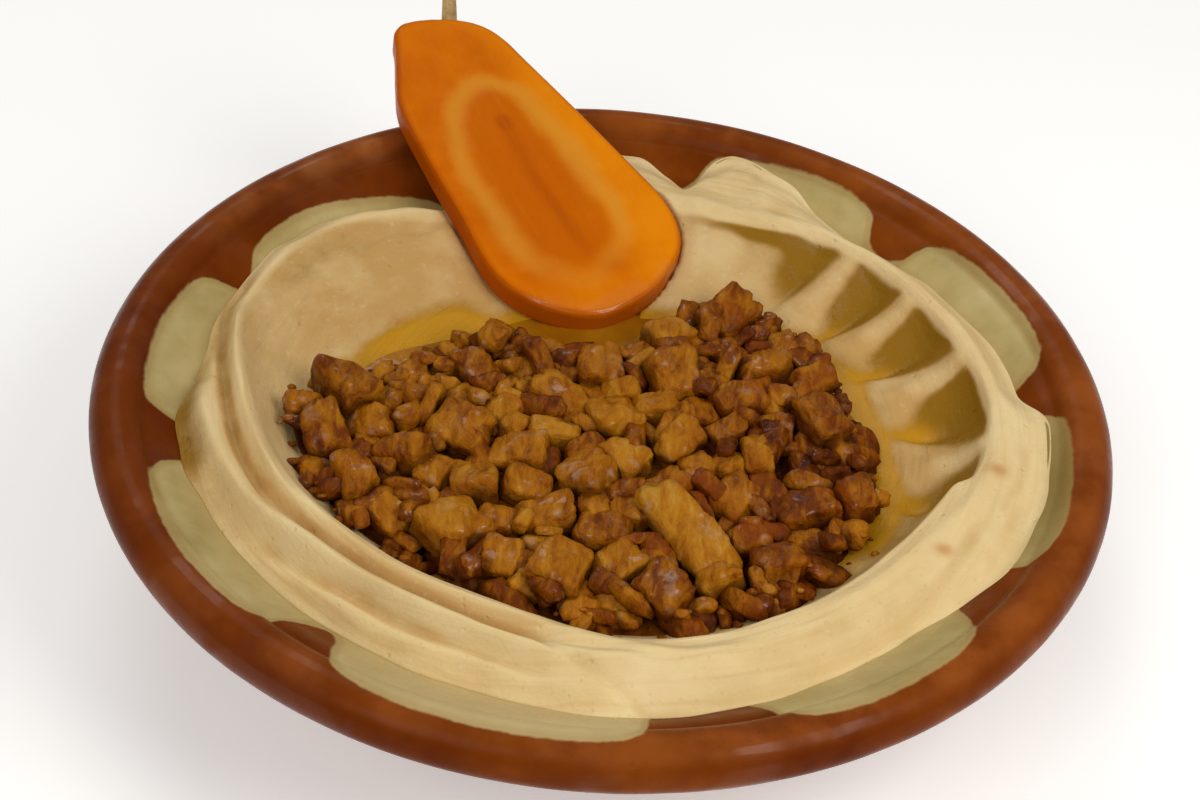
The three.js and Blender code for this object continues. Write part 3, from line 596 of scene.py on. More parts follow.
def spoon_relief(deg, radius):
    height = 0
    for rise, width, run in SPOON_LINES:
        first, last = run[0][0], run[-1][0]
        direction = (first + last) / 2 + apart(deg, (first + last) / 2)
        inside = np.minimum(direction - first, last - direction) + 9
        height = height + smooth(inside, 0, 9) * rise * hill(radius - through(run)(direction), width)
    return height


def flute_relief(deg, along):
    """Flutes of the spooned slope: ridges narrow upwards, and hollows widen and are abrupt in front."""
    height = 0
    for direction, width, rise in FLUTES:
        offset = apart(deg, direction)
        spread = width * (1.4 - 0.8 * along)
        if rise < 0:
            spread = width * (0.4 + 0.95 * along) * np.where(offset < 0, 0.7, 1.25)
        height = height + rise * hill(offset, spread)
    return height


def slope_share(deg, radius):
    """Share of the way out from the hollow's foot to the crest."""
    foot = foot_radius(deg)
    return np.clip((radius - foot) / (crest_radius(deg) - foot), 0, 1.3)


def hummus_height(x, y):
    deg, radius = polar(x, y)
    crest, top, foot, edge = crest_radius(deg), crest_height(deg), foot_radius(deg), edge_radius(deg)
    hollow_rise, climb = HOLLOW_FOOT - HOLLOW_FLOOR, top - HOLLOW_FOOT
    slope = HOLLOW_FLOOR + hollow_rise * np.minimum(radius / foot, 1) ** 4
    along = slope_share(deg, radius)
    straight = np.minimum(4 * hollow_rise / foot * (crest - foot) / climb, 0.8)
    slope = slope + climb * (straight * along + (1 - straight) * along ** slope_power(deg))
    on_slope = smooth(along, 0, 0.5) * (1 - smooth(along, 0.92, 1.1))
    slope = slope + on_slope * flute_relief(deg, along)
    across = np.clip((radius - crest) / np.maximum(edge - crest, 4), 0, 1)
    band = top + BAND_BULGE * 4 * across * (1 - across) - BAND_FALL * across ** 2
    full = lower_of(slope, band, 1.4) + spoon_relief(deg, radius)
    for lump_x, lump_y, size_x, size_y, rise in LUMPS:
        full = full + rise * hill(np.hypot((x - lump_x) / size_x, (y - lump_y) / size_y), 1)
    floor = wall_height(radius) + 0.3
    inward = np.clip((edge - radius) / EDGE_ROUND, 0, 1)
    return floor + (full - floor) * (1 - (1 - inward) ** 2) ** EDGE_POWER


def fine_relief(x, y):
    """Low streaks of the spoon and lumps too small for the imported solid, fading out at the edge."""
    deg, radius = polar(x, y)
    drift = 1.6 * grain(joined(x, y, 0), 24, 3)
    sweep = joined(*spoke(deg, 3.2), (radius - 0.4 * (crest_radius(deg) - 60) + drift) / 2.6)
    streak = grain(sweep, 1, 11) + 0.5 * grain(sweep * 2.1, 1, 12)
    lumps = (0.3 + 0.6 * hill(np.hypot(x - 25, y - 70), 9)) * rough(joined(x, y, 0), 9, 21)
    strength = smooth(radius, 44, 56) * smooth(edge_radius(deg) - radius, 0, 3)
    return strength * ((0.22 + 0.2 * facing(deg, -125, 60)) * streak + lumps)


def fine_height(x, y):
    return hummus_height(x, y) + fine_relief(x, y)


def paste_skin():
    """Points and faces of the paste, its rings from the middle out over the edge and back underneath."""
    deg = all_round(HUMMUS_SECTORS)
    foot, crest, edge = foot_radius(deg), crest_radius(deg), edge_radius(deg)
    inset = np.maximum(edge - EDGE_ROUND, crest + 1)
    rings = [foot * t for t in np.linspace(0.15, 1, 14)]
    rings += [foot + (crest - foot) * t for t in np.linspace(0, 1, 56)[1:]]
    rings += [crest + (inset - crest) * t for t in np.linspace(0, 1, 64)[1:]]
    rings += [inset + (edge - inset) * math.sin(a) for a in np.linspace(0, math.pi / 2, 20)[1:]]
    R = np.array(rings)
    D = np.broadcast_to(deg, R.shape)
    x, y = spoke(D, R)
    z = np.maximum(fine_height(x, y), wall_height(R) + 0.35 * smooth(edge - R, 0, 1.2))
    z[-1] = wall_height(R[-1]) - 0.25
    # The edge wanders a little, and follows the bowl's wall up or down as it does.
    near_edge = smooth(R, edge - 9, edge)
    x, y = spoke(D, 0.7 * grain(joined(*spoke(D, 9), 0), 1, 5) * near_edge, (x, y))
    z = z + (wall_height(np.hypot(x, y)) - wall_height(R)) * near_edge
    # The carrot's underside presses into the paste.
    z = np.minimum(z, carrot_underside(x, y))
    under = np.array([edge * t for t in (0.97, 0.9, 0.75, 0.5, 0.25)])
    rows = np.concatenate([joined(x, y, z), joined(*spoke(deg, under), wall_height(under) - 0.3)])
    return closed_skin(rows, (0, 0, float(hummus_height(0.0, 0.0))), (0, 0, float(wall_height(0)) - 0.3))


def paste_marks(points):
    """How tinted, stained and golden the paste is at each point, the tint and the staining partly painted
    shade, and coordinates along its streaks.
    """
    x, y, z = points.T
    deg, reach = polar(x, y)
    heap_deg, heap_far = polar(x, y, MEAT_CENTRE)
    beyond = np.maximum(heap_far - heap_radius(heap_deg), 0)
    at_oil = hill(np.maximum(z - OIL_LEVEL, 0), 1.2)
    along, relief = slope_share(deg, reach), spoon_relief(deg, reach)
    flute = flute_relief(deg, along)
    inner = (1 - smooth(along, 0.95, 1.03)) * smooth(z - OIL_LEVEL, -1, 2)
    # Painted shade with oil in the flutes' hollows, and painted shade just under the crest at the back
    # right.
    hollow = np.clip((0.45 - flute) / 1.25, 0, 1) * smooth(along, 0.2, 0.72) * facing(deg, 14, 38) ** 0.5
    hollow = (hollow + 0.7 * hill(along - 0.93, 0.07) * facing(deg, 64, 10)) * inner
    # Painted shadow where the paste meets the glaze at the left, and painted shade in the deep groove at
    # the left.
    thin = hill(edge_radius(deg) - reach - 0.5, 3.2) * facing(deg, -166, 15)
    groove = np.clip(-relief / 2, 0, 1) * facing(deg, -176, 26)
    # Oil stains the paste at its level, round the heap and in a few spots; painted shade darkens it just
    # under the crest at the back left, in the flutes' hollows with oil, in the left groove and along the
    # left edge.
    oil_stain_and_shade = 0.95 * at_oil + 0.8 * hill(beyond, 5) * facing(deg, 10, 58)
    oil_stain_and_shade = oil_stain_and_shade + 0.38 * hill(along - 0.84, 0.15) * facing(deg, 150, 15)
    gold = at_oil + hill(beyond, 4.5)
    for spot_x, spot_y, size in OIL_STAINS:
        spot = hill(np.hypot(x - spot_x, y - spot_y), size)
        oil_stain_and_shade, gold = oil_stain_and_shade + 0.75 * spot, gold + 0.7 * spot
    oil_stain_and_shade = oil_stain_and_shade + 1.5 * hollow + 0.85 * thin + 0.45 * groove
    # A light tan tint on the hollow's slopes, and painted shade as deeper tan on the shaded right and
    # back-left slopes (less on the flutes' lit ridges), in the spoon's furrows and along the left edge.
    furrow = np.clip(-(relief + 2.6 * fine_relief(x, y)) / 1.1, 0, 1)
    furrow = furrow * smooth(along, 0.98, 1.05) * (1 - 0.35 * facing(deg, -55, 40))
    right = facing(deg, 18, 50) * (1 - 0.7 * np.clip(flute / 0.9, 0, 1) * smooth(along, 0.3, 0.6))
    left = facing(deg, 138, 46) * (0.75 + 0.5 * hill(along - 0.8, 0.16) * facing(deg, 152, 20))
    tan_and_shade = (0.95 * right + left + 0.3) * inner + 0.85 * furrow + thin
    sweep_x, sweep_y = spoke(deg, 0.003)
    return {
        "oil_stain_and_shade": np.clip(oil_stain_and_shade, 0, 1), "gold": np.clip(gold, 0, 1), "tan_and_shade": np.clip(tan_and_shade, 0, 1),
        "swept": smooth(along, 0.98, 1.06) * (0.4 + 0.6 * facing(deg, -125, 50)),
        "drop": sum(hill(np.hypot(x - a, (y - b) * 1.3), size) for a, b, size in OIL_DROPS),
        "reach": reach * 0.001, "sweep_x": sweep_x, "sweep_y": sweep_y,
    }


def build_hummus():
    points, faces = paste_skin()
    hummus = make("hummus_paste", points, faces, hummus_material(), paste_marks(points))
    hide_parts("hummus")


# ---- carrot slice, in its own frame of across to the right, along from the low end, and up ----
def rounded(points, count):
    """A closed centripetal Catmull-Rom curve through points (along, across), as (across, along)."""
    p = np.array(points, float)[:, ::-1]
    n = len(p)
    out = []
    for u in np.arange(count) * n / count:
        i, w = int(u), u - int(u)
        p0, p1, p2, p3 = p[(i - 1) % n], p[i % n], p[(i + 1) % n], p[(i + 2) % n]
        d0, d1, d2 = (max(np.linalg.norm(b - a), 1e-6) ** 0.5 for a, b in ((p0, p1), (p1, p2), (p2, p3)))
        m1 = ((p1 - p0) / d0 - (p2 - p0) / (d0 + d1) + (p2 - p1) / d1) * d1
        m2 = ((p2 - p1) / d1 - (p3 - p1) / (d1 + d2) + (p3 - p2) / d2) * d1
        a, b = 2 * (p1 - p2) + m1 + m2, 3 * (p2 - p1) - 2 * m1 - m2
        out.append(a * w ** 3 + b * w ** 2 + m1 * w + p1)
    return np.array(out)


CARROT_OUTLINE = [  # along, across
    (0, 1), (0.5, 7.5), (2.7, 13.9), (6, 18.8), (9.3, 22.2), (13.4, 24.4), (18.5, 25.2), (24.4, 24.6),
    (31.7, 22.5), (50, 16.9), (64.7, 12.1), (70.7, 10.1), (75, 7.6), (78, 3.8), (79.9, -1.5), (80.6, -6.5),
    (80.2, -9.4), (78.6, -11.2), (74.6, -12.4), (66.9, -15.1), (60.1, -17.1), (49, -17.1), (30, -15.8),
    (15.5, -14.7), (9.5, -12), (4, -7),
]
CARROT_CORNERS = np.array([(across, along) for along, across in CARROT_OUTLINE])
CARROT_SIDES = rounded(CARROT_OUTLINE, 176)
CARROT_RING = rounded([  # the pale ring between flesh and core
    (9, 3), (11.5, 9.5), (17, 13.5), (23.2, 14.2), (30.3, 13.6), (38.7, 12), (46.8, 9.6), (56.7, 6.6),
    (60.5, 1), (57.4, -5.4), (49.5, -9.4), (37.4, -10.3), (27.8, -10), (19.9, -9), (14.1, -6.8),
    (10.5, -2),
], 90)
CARROT_MIDDLE = np.array([2.0, 38.0])


def outline_distance(points, outline):
    """Distance inside a closed outline, below zero outside it."""
    x, y = points.T
    best = np.full(len(points), 1e9)
    crossings = np.zeros(len(points), int)
    for (ax, ay), (bx, by) in zip(outline, np.roll(outline, -1, axis=0)):
        dx, dy = bx - ax, by - ay
        t = np.clip(((x - ax) * dx + (y - ay) * dy) / (dx * dx + dy * dy), 0, 1)
        best = np.minimum(best, np.hypot(x - ax - t * dx, y - ay - t * dy))
        spans = (ay > y) != (by > y)
        crossings += spans & (x < ax + dx * (y - ay) / (dy if dy else 1e-9))
    return np.where(crossings % 2 == 1, best, -best)


def carrot_frame():
    """The slice's three axes in the bowl's frame, one a row, and the place of its low end."""
    lean, tilt, turn = (math.radians(a) for a in (CARROT_LEAN, CARROT_TILT, CARROT_TURN))
    climb = Vector((math.cos(lean), math.sin(lean), 0))
    contact = climb * math.sqrt(LIP_CENTRE[0] ** 2 - CARROT_HALF_WIDTH ** 2)
    contact.z = LIP_CENTRE[1] + (LIP_ROUND + 0.3) / math.cos(tilt)
    up = Vector((climb.x * math.cos(tilt), climb.y * math.cos(tilt), math.sin(tilt)))
    right = Vector((climb.y, -climb.x, 0))
    normal = right.cross(up)
    spin = Matrix.Rotation(turn, 3, normal)
    low_end = contact + up * LOW_END_ALONG + right * LOW_END_ACROSS
    return np.array([spin @ right, spin @ up, normal]), np.array(low_end)


CARROT_AXES, CARROT_ORIGIN = carrot_frame()


def to_bowl(local):
    return local @ CARROT_AXES + CARROT_ORIGIN


def to_carrot(points):
    return (points - CARROT_ORIGIN) @ CARROT_AXES.T


def carrot_underside(x, y):
    """Height of the carrot's underside over each place, climbing steeply beside the carrot."""
    normal, origin = CARROT_AXES[2], CARROT_ORIGIN
    z = origin[2] - (normal[0] * (x - origin[0]) + normal[1] * (y - origin[1])) / normal[2]
    flat = to_carrot(joined(x, y, z).reshape(-1, 3))[:, :2]
    outside = -outline_distance(flat, CARROT_SIDES).reshape(np.shape(x))
    return z + 0.1 + 6 * np.maximum(outside + 0.05, 0)


def in_carrot(points, margin):
    local = to_carrot(points)
    level = (local[:, 2] > -margin) & (local[:, 2] < CARROT_THICKNESS + margin)
    return bool((level & (outline_distance(local[:, :2], CARROT_CORNERS) > -margin)).any())


def slice_skin(outline):
    """Points and faces of the slice: a face with its ring and core in low relief, sides and underside."""
    steps = np.concatenate([np.linspace(0.04, 0.9, 40), 1 - 0.1 * (1 - np.linspace(0, 1, 20)[1:]) ** 1.6])
    rings = CARROT_MIDDLE + steps[:, None, None] * (outline - CARROT_MIDDLE)
    local = rings.reshape(-1, 2)
    across, along = local.T
    depth = np.maximum(outline_distance(local, outline), 0)
    round_off = 1.5
    drop = round_off - np.sqrt(round_off ** 2 - (round_off - np.minimum(depth, round_off)) ** 2)
    ring = outline_distance(local, CARROT_RING)
    relief = 0.16 * rough(joined(across, along * 0.25, 0), 4, 31)
    relief = relief + 0.03 * grain(joined(across * 0.15, along, 0), 1.1, 33)
    relief = relief - 0.22 * hill(ring - 0.5, 1.6) + 0.2 * smooth(ring, 1, 5)
    relief = relief * smooth(depth, 0, 2) - 0.12
    top = CARROT_THICKNESS - drop + np.minimum(relief, 0.05)
    under = drop - 0.4 * relief * smooth(depth, 0, 2)
    upper, lower = (joined(rings[..., 0], rings[..., 1], z.reshape(rings.shape[:2])) for z in (top, under))
    middles = [joined(*outline.T, CARROT_THICKNESS * share) for share in (0.7, 0.5, 0.3)]
    sheet = np.concatenate([upper, middles, lower[::-1]])
    # Scraped marks along the sides.
    mark = 0.12 * rough(sheet * (1, 0.3, 1), 2.5, 41) - 0.12
    on_side = np.abs(np.arange(len(sheet)) - len(sheet) // 2) < 10
    outward = outline - CARROT_MIDDLE
    outward = outward / np.linalg.norm(outward, axis=1)[:, None]
    sheet[..., :2] += outward * (mark * on_side[:, None])[..., None]
    return closed_skin(sheet, (*CARROT_MIDDLE, CARROT_THICKNESS - 0.1), (*CARROT_MIDDLE, 0.05))


def build_carrot():
    outline = rounded(CARROT_OUTLINE, CARROT_SECTORS)
    points, faces = slice_skin(outline)
    across, along = points[:, 0], points[:, 1]
    inner = outline_distance(points[:, :2], outline)
    vein_at = across - (1.6 + 0.155 * np.maximum(35 - along, 0) - 0.03 * np.maximum(along - 35, 0))
    vein = hill(vein_at, 2.1) * smooth(along, 5, 20) * (1 - smooth(along, 50, 53.5))
    vein = vein * (0.6 + 0.25 * hill(along - 27, 12)) + 0.9 * hill(np.hypot(vein_at, along - 49.5), 1.5)
    attributes = {
        "across": across * 0.001, "along": along * 0.001, "vein": vein,
        "ring": outline_distance(points[:, :2], CARROT_RING),
        "band": 0.35 + 0.65 * smooth(along, 9, 22),
        "side": np.where(inner < 0.4, 1, np.clip(1 - inner / 1.6, 0, 1)),
        "wet": 1 - smooth(along - 0.25 * np.abs(across - 4), 2.5, 5.5),
        "lit": smooth(across + 0.12 * (along - 40), 4, 15) + 0.35 * smooth(-along, -14, -5),
    }
    carrot = make("carrot_slice", to_bowl(points), faces, carrot_material(), attributes)
    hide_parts("carrot")
    build_stub()


def build_stub():
    """The dry stalk end that sticks out of the slice's top, ridged along and torn off at its end."""
    sectors, rings, rooted, ridges = 28, 26, 3, 7
    t = np.linspace(0, 1, rings)[:, None]
    a = np.arange(sectors) * 2 * math.pi / sectors
    ridged = 0.95 + 0.05 * np.cos(ridges * a + 1.5 * t)
    radius = STUB_RADIUS * (1 - 0.25 * t) * np.where(t < 1, 1, 0.75) * ridged
    far = (STUB_LENGTH + rooted) * np.minimum(t, 0.985) - rooted
    torn = np.arange(rings)[:, None] > rings - 4
    far = np.minimum(far + 0.25 * np.sin(3 * a) * torn, STUB_LENGTH)
    rows = joined(radius * np.cos(a), far, -radius * np.sin(a))
    points, faces = closed_skin(rows, (0, -rooted, 0), (0, STUB_LENGTH - 0.3, 0), turned=True)
    x, y, z = points.T
    tilt = math.radians(STUB_TILT)
    across, along = x * math.cos(tilt) + y * math.sin(tilt), y * math.cos(tilt) - x * math.sin(tilt)
    turned = joined(STUB_AT[0] + across, STUB_AT[1] + along, CARROT_THICKNESS / 2 + z)
    make("carrot_stub", to_bowl(turned), faces, stub_material())


# ---- meat ----
heap_radius = through([
    (-170, 51), (-153, 48.5), (-133, 44.6), (-120, 42), (-102, 42.2), (-88, 45.2), (-76, 48.4),
    (-58, 48.8), (-42, 50), (-31, 52.5), (-18, 53), (-3, 49.3), (16, 49.3), (32, 51), (46, 48.8),
    (60, 48.5), (66, 38), (71, 26), (77, 23.5), (87, 22.5), (104, 24.5), (118, 28), (130, 31), (141, 34.5),
    (156, 34), (165, 46.5), (178, 53),
], 360)


def core_radius(deg):
    return heap_radius(deg) - MEAT_INSET


def core_top(x, y):
    deg, distance = polar(x, y, MEAT_CENTRE)
    return MEAT_EDGE + MEAT_RISE * (1 - np.minimum(distance / core_radius(deg), 1) ** 2)


def hull_planes(points):
    """The points' middle, and the planes round them: normals, and offsets from that middle."""
    middle = points.mean(axis=0)
    p = points - middle
    planes = []
    for a, b, c in itertools.combinations(p, 3):
        normal = np.cross(b - a, c - a)
        size = np.linalg.norm(normal)
        if size < 1e-9:
            continue
        normal /= size
        offset = normal @ a
        sides = p @ normal - offset
        if sides.max() < 1e-7:
            planes.append((*normal, offset))
        elif sides.min() > -1e-7:
            planes.append((*-normal, -offset))
    planes = np.array(planes)
    return middle, planes[:, :3], planes[:, 3]


def turning(axis, angle):
    return np.array(Matrix.Rotation(angle, 3, axis))


def piece_corners(length, width, height, turn, draw):
    """The corners of one chopped piece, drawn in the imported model's order."""
    def near(value, spread):
        return value * (1 + spread * (draw() - 0.5))
    corners = [[near(side, 0.5) for side in corner] for corner in itertools.product((-1, 1), repeat=3)]
    corners.append([near(1.3, 0.3), draw() - 0.5, draw() - 0.5])
    corners.append([draw() - 0.5, draw() - 0.5, near(1.3, 0.3)])
    a, b, c = 0.6 * (draw() - 0.5), 0.6 * (draw() - 0.5), math.radians(turn)
    spin = np.array(Matrix.Rotation(a, 3, "X") @ Matrix.Rotation(b, 3, "Y") @ Matrix.Rotation(c, 3, "Z"))
    return (np.array(corners) * np.array([length, width, height]) * 0.45) @ spin.T


def lift_needed(points):
    x, y, z = points.T
    deg, distance = polar(x, y, MEAT_CENTRE)
    lowest = hummus_height(x, y) + OVER_PASTE
    free = distance > core_radius(deg) - 1
    lowest = np.where(free, np.maximum(lowest, OIL_LEVEL + OVER_OIL), lowest)
    return max(0.0, float((lowest - z).max()))


def on_strip(x, y):
    turn = math.radians(STRIP_TURN)
    away_x, away_y = x - STRIP_MIDDLE[0], y - STRIP_MIDDLE[1]
    along = away_x * math.cos(turn) + away_y * math.sin(turn)
    across = away_y * math.cos(turn) - away_x * math.sin(turn)
    return abs(along) < 14 and abs(across) < 6.5


def packed_pieces():
    """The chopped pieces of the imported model, the strip first, as corner points in place."""
    draw = seeded(41)
    rooms, pieces = [], []

    def put(corners, x, y, rise, size):
        middle, normals, offsets = hull_planes(corners)
        on_hull = (np.abs((corners - middle) @ normals.T - offsets) < 1e-6).any(axis=1)
        corners = corners[on_hull] + (x, y, float(core_top(x, y)) + rise)
        corners[:, 2] += lift_needed(corners)
        if corners[:, 2].max() <= HIGHEST_TOP and not in_carrot(corners, OFF_CARROT):
            rooms.append((x, y, size))
            pieces.append(corners)

    def spot(size):
        deg = 360 * draw()
        distance = (float(heap_radius(deg)) - 0.42 * size) * math.sqrt(draw())
        x, y = spoke(deg, distance, MEAT_CENTRE)
        return x, y, min(math.hypot(x - px, y - py) - 0.4 * (other + size) for px, py, other in rooms)
    put(piece_corners(*STRIP_SIZE, STRIP_TURN, seeded(5)), *STRIP_MIDDLE, 1.5, 1.5 * STRIP_SIZE[1])
    for n in range(MEAT_PIECES):
        size = LARGEST_PIECE + (SMALLEST_PIECE - LARGEST_PIECE) * (n / (MEAT_PIECES - 1)) ** 0.6
        x, y, _ = max((spot(size) for _ in range(40)), key=lambda place: place[2])
        width = size * (0.6 + 0.35 * draw())
        height = size * (0.5 + 0.25 * draw())
        put(piece_corners(size, width, height, 360 * draw(), draw), x, y, 0.05 * size, size)
    return pieces


def chunk(corners, directions, seed, roundness=10.0, ragged=0.12, grown=1.1):
    """A torn, fibrous lump that fills the hull of its corners."""
    middle, normals, offsets = hull_planes(corners)
    reach = np.maximum(directions @ normals.T, 0) / offsets
    radius = 1 / (reach ** roundness).sum(axis=1) ** (1 / roundness)
    points = directions * radius[:, None]
    size = float(radius.mean())
    turned = points @ turning(Vector((0.3, 0.2, 1)).normalized(), seed * 1.7).T
    fibres = 0.4 - np.abs(grain(turned * (1, 0.25, 1), max(0.36 * size, 0.9), seed)) ** 0.8
    lumps = rough(turned, 0.9 * size, seed + 7)
    tears = np.abs(grain(turned, 0.62 * size, seed + 3)) ** 0.7 - 0.4
    radial = 1 + ragged * (1.5 * lumps + 1.1 * fibres + 1.1 * tears)
    return middle + points * radial[:, None] * grown


class Heap:
    """A height map of what has been set down, to rest smaller pieces on it."""
    STEP = 0.6
    HALF = 80

    def __init__(self):
        self.side = np.arange(int(2 * self.HALF / self.STEP)) * self.STEP - self.HALF
        x, y = np.meshgrid(self.side, self.side, indexing="ij")
        self.top = np.maximum(hummus_height(x, y), OIL_LEVEL)

    def cells(self, points):
        cells = ((points[:, :2] + self.HALF) / self.STEP).astype(int)
        return tuple(np.clip(cells, 0, len(self.side) - 1).T)

    def add(self, points):
        np.maximum.at(self.top, self.cells(points), points[:, 2])

    def depth(self, points):
        """How far each point lies under the highest thing near it."""
        wide = self.top
        for _ in range(3):
            wide = np.maximum.reduce([np.roll(wide, move, axis) for axis in (0, 1) for move in (-1, 0, 1)])
        return wide[self.cells(points)] - points[:, 2]

    def under(self, x, y, reach):
        i, j = (int((v + self.HALF) / self.STEP) for v in (x, y))
        n = max(1, int(reach / self.STEP))
        return self.top[i - n:i + n + 1, j - n:j + n + 1]


class Batch:
    """Lumps of one kind, each the same ball pushed into shape, with a tone of its own."""

    def __init__(self, level):
        self.directions, self.faces = ball(level)
        self.points, self.tones = [], []

    def add(self, points, tone):
        self.points.append(points)
        self.tones.append(tone)
        return points

    def build(self, name, heap):
        count = len(self.directions)
        faces = np.concatenate([self.faces + count * n for n in range(len(self.points))])
        points, tone = np.concatenate(self.points), np.repeat(self.tones, count)
        return make_meat(name, heap, points, faces.tolist(), tone)


def make_meat(name, heap, points, faces, tone):
    x, y, z = points.T
    rise = z - core_top(x, y)
    right = smooth(x, 4, 30)
    # Painted shade where a point lies low in the heap or under a higher piece nearby.
    painted_gap_shade = (0.8 + 0.15 * right) * smooth(heap.depth(points), 0.9, 3.6)
    low = np.maximum(1 - smooth(rise, -2.5, 1.5), painted_gap_shade)
    tone = tone + 0.3 * rough(points * (1, 1, 0), 17, 61, 2) - 0.16 * right
    attributes = {"tone": tone, "low": low, "top": smooth(rise, 1.5, 4), "red": 0.45 + 0.55 * right}
    return make(name, points, faces, meat_material(name), attributes)


def build_meat():
    heap = Heap()
    draw = seeded(7)
    chunks = Batch(4)
    strip, *others = packed_pieces()
    heap.add(chunks.add(chunk(strip, chunks.directions, 4, 5.0, 0.15, 1.08), 0.85))
    for n, corners in enumerate(others, 1):
        heap.add(chunks.add(chunk(corners, chunks.directions, n), 0.25 + 0.5 * draw()))
    bits = small_bits(heap, draw)
    meat = chunks.build("meat_chunks", heap)
    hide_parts("meat")
    bits.build("meat_bits", heap)
    build_core(heap)
    build_crumbs(heap)


def small_bits(heap, draw):
    """Bits that fill the gaps between the chopped pieces, each set down where the heap is lowest."""
    bits = Batch(3)

    def spot(n, size):
        deg = 360 * draw()
        far = (float(heap_radius(deg)) + (1.5 if n % 5 == 0 else -1)) * math.sqrt(draw())
        x, y = spoke(deg, far, MEAT_CENTRE)
        return x, y, float(np.median(heap.under(x, y, size * 0.35)))
    for n in range(SMALL_BITS):
        size = LARGEST_BIT + (SMALLEST_BIT - LARGEST_BIT) * (n / (SMALL_BITS - 1)) ** 0.8
        x, y, level = min((spot(n, size) for _ in range(14)), key=lambda place: place[2])
        length, width = size * (0.9 + 0.8 * draw()), size * (0.5 + 0.3 * draw())
        height = size * (0.4 + 0.3 * draw())
        corners = piece_corners(length, width, height, 360 * draw(), draw)
        corners = corners @ turning("X", (draw() - 0.5) * 1.2).T
        corners = corners + (x, y, level - corners[:, 2].min() - 0.4 * size)
        if corners[:, 2].max() > BIT_TOP or in_carrot(corners, BIT_OFF_CARROT) or on_strip(x, y):
            continue
        heap.add(bits.add(chunk(corners, bits.directions, 200 + n, ragged=0.15), 0.05 + 0.6 * draw()))
    return bits


def build_core(heap):
    """Crumbs of meat under the pieces, painted dark as shade where they lie low between them."""
    deg, rings = all_round(200), 60
    share = np.linspace(0.02, 1, rings)[:, None]
    x, y = spoke(deg, share * (heap_radius(deg) - 1.2), MEAT_CENTRE)
    flat = joined(x, y, 0)
    top = core_top(x, y) - 0.9 + 1.5 * rough(flat, 5, 51) + 0.6 * grain(flat, 1.6, 52)
    ground = hummus_height(x, y)
    base = ground + 0.02
    z = base + (np.maximum(top, base + 0.3) - base) * np.sqrt(np.clip(1 - share ** 8, 0, 1))
    back = [-1, -20, -40]
    rows = np.concatenate([joined(x, y, z), joined(x[back], y[back], ground[back] - 0.4)])
    ends = (*MEAT_CENTRE, float(core_top(*MEAT_CENTRE)) - 1.4), (*MEAT_CENTRE, HOLLOW_FLOOR - 0.2)
    points, faces = closed_skin(rows, *ends)
    make_meat("meat_core", heap, points, faces, np.full(len(points), 0.3))


def build_crumbs(heap):
    """Crumbs of meat round the heap."""
    draw = seeded(19)
    crumbs = Batch(2)
    while len(crumbs.points) < CRUMBS:
        deg = 360 * draw()
        x, y = spoke(deg, float(heap_radius(deg)) + 4.5 * draw() ** 2 - 2 * draw(), MEAT_CENTRE)
        size = 0.5 + 1.1 * draw() ** 2
        level = float(heap.under(x, y, 0.6).mean())
        if level > CRUMB_TOP or in_carrot(np.array([[x, y, level]]), CRUMB_OFF_CARROT):
            continue
        uneven = 1 + 0.3 * grain(crumbs.directions, 0.7, len(crumbs.points))
        shape = crumbs.directions * (size, size * 0.75, size * 0.6) * uneven[:, None]
        crumbs.add(shape + (x, y, level + 0.15 * size), 0.2 + 0.6 * draw())
    crumbs.build("meat_crumbs", heap)


# ---- oil ----
def build_oil():
    """A pool level with the hollow's foot, whose rim lies hidden in the paste."""
    deg = all_round(300)
    reach = foot_radius(deg) + 0.5
    for _ in range(12):
        reach = np.where(fine_height(*spoke(deg, reach)) < OIL_LEVEL + 0.08, reach + 0.35, reach - 0.3)
    share = np.concatenate([np.linspace(0.05, 0.8, 18), np.linspace(0.82, 1, 22)])[:, None]
    x, y = spoke(deg, share * (reach + 1))
    low = np.minimum(fine_height(x, y) - 0.25, OIL_LEVEL - 0.3)
    back = [-2, -8, -16, -26, -34]
    rows = np.concatenate([joined(x, y, OIL_LEVEL), joined(x[back], y[back], low[back])])
    points, faces = closed_skin(rows, (0, 0, OIL_LEVEL), (0, 0, HOLLOW_FLOOR - 0.2))
    oil = make("oil_pool", points, faces, oil_material())
    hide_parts("oil")


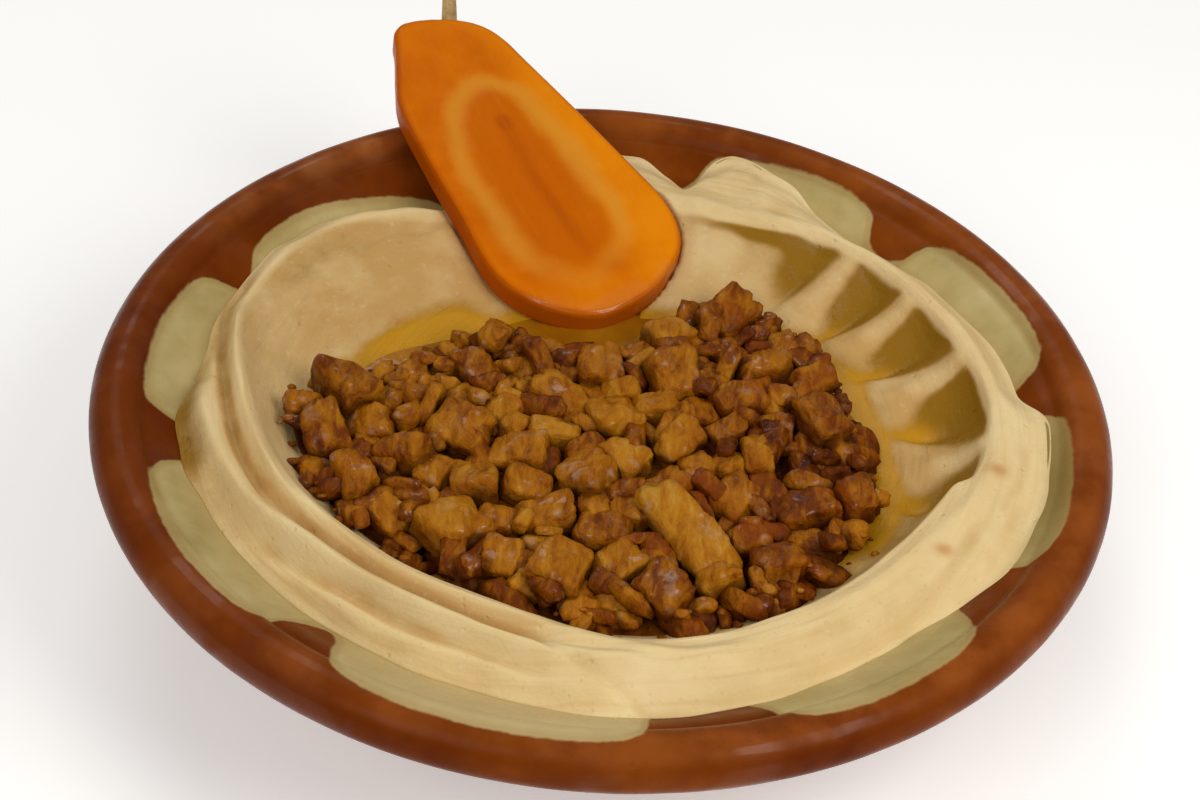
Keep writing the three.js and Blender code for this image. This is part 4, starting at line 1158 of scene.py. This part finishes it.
# ---- floor, lights and camera ----
def build_floor():
    mesh = bpy.data.meshes.new("floor")
    mesh.from_pydata([(-4, -4, 0), (4, -4, 0), (4, 4, 0), (-4, 4, 0)], [], [(0, 1, 2, 3)])
    s = Shader("floor")
    white = s.ramp(s.noise(400, 2), (0.3, (0.93, 0.93, 0.92)), (0.7, (0.96, 0.96, 0.95)))
    s.set(Base_Color=white, Roughness=0.7, Emission_Color=(1, 1, 1, 1), Emission_Strength=0.3)
    mesh.materials.append(s.material)
    placed("floor", mesh)


def build_light(name, azimuth, elevation, distance, size, power):
    """A warm round lamp that looks at the middle of the dish from that direction."""
    data = bpy.data.lights.new(name, "AREA")
    data.shape, data.size, data.energy, data.color = "DISK", size, power, (1, 0.97, 0.92)
    a, e = math.radians(azimuth), math.radians(elevation)
    back = Vector((math.cos(a) * math.cos(e), math.sin(a) * math.cos(e), math.sin(e)))
    lamp = placed(name, data)
    lamp.location = back * distance + Vector((0, 0, 0.035))
    lamp.rotation_euler = back.to_track_quat("Z", "Y").to_euler()


def build_camera():
    ELEVATION, ROLL, DISTANCE, AIM = 39.74, 4.769, 0.41346, Vector((-0.00081, -0.00116, 0.036))
    e, r = math.radians(ELEVATION), math.radians(ROLL)
    back = Vector((0, -math.cos(e), math.sin(e)))
    right, up = Vector((1, 0, 0)), Vector((0, math.sin(e), math.cos(e)))
    sight_right = right * math.cos(r) + up * math.sin(r)
    sight_up = up * math.cos(r) - right * math.sin(r)
    data = bpy.data.cameras.new("camera")
    data.lens, data.sensor_width, data.sensor_fit, data.clip_start = 70, 36, "HORIZONTAL", 0.01
    camera = placed("camera", data)
    turned = Matrix((sight_right, sight_up, back)).transposed().to_4x4()
    camera.matrix_world = Matrix.Translation(AIM + back * DISTANCE) @ turned
    bpy.context.scene.camera = camera


def build_world():
    world = bpy.data.worlds.new("studio")
    world.use_nodes = True
    background = world.node_tree.nodes["Background"]
    background.inputs["Color"].default_value = (1, 1, 1, 1)
    background.inputs["Strength"].default_value = 0.28
    bpy.context.scene.world = world
    bpy.context.scene.view_settings.view_transform = "Standard"


build_bowl()
build_hummus()
build_oil()
build_meat()
build_carrot()
build_floor()
build_light("key", -35, 45, 0.5, 0.3, 1.08)
build_light("left", -120, 40, 1.3, 0.7, 4.6)
build_light("back", 112, 50, 1.3, 0.7, 3.0)
build_camera()
build_world()
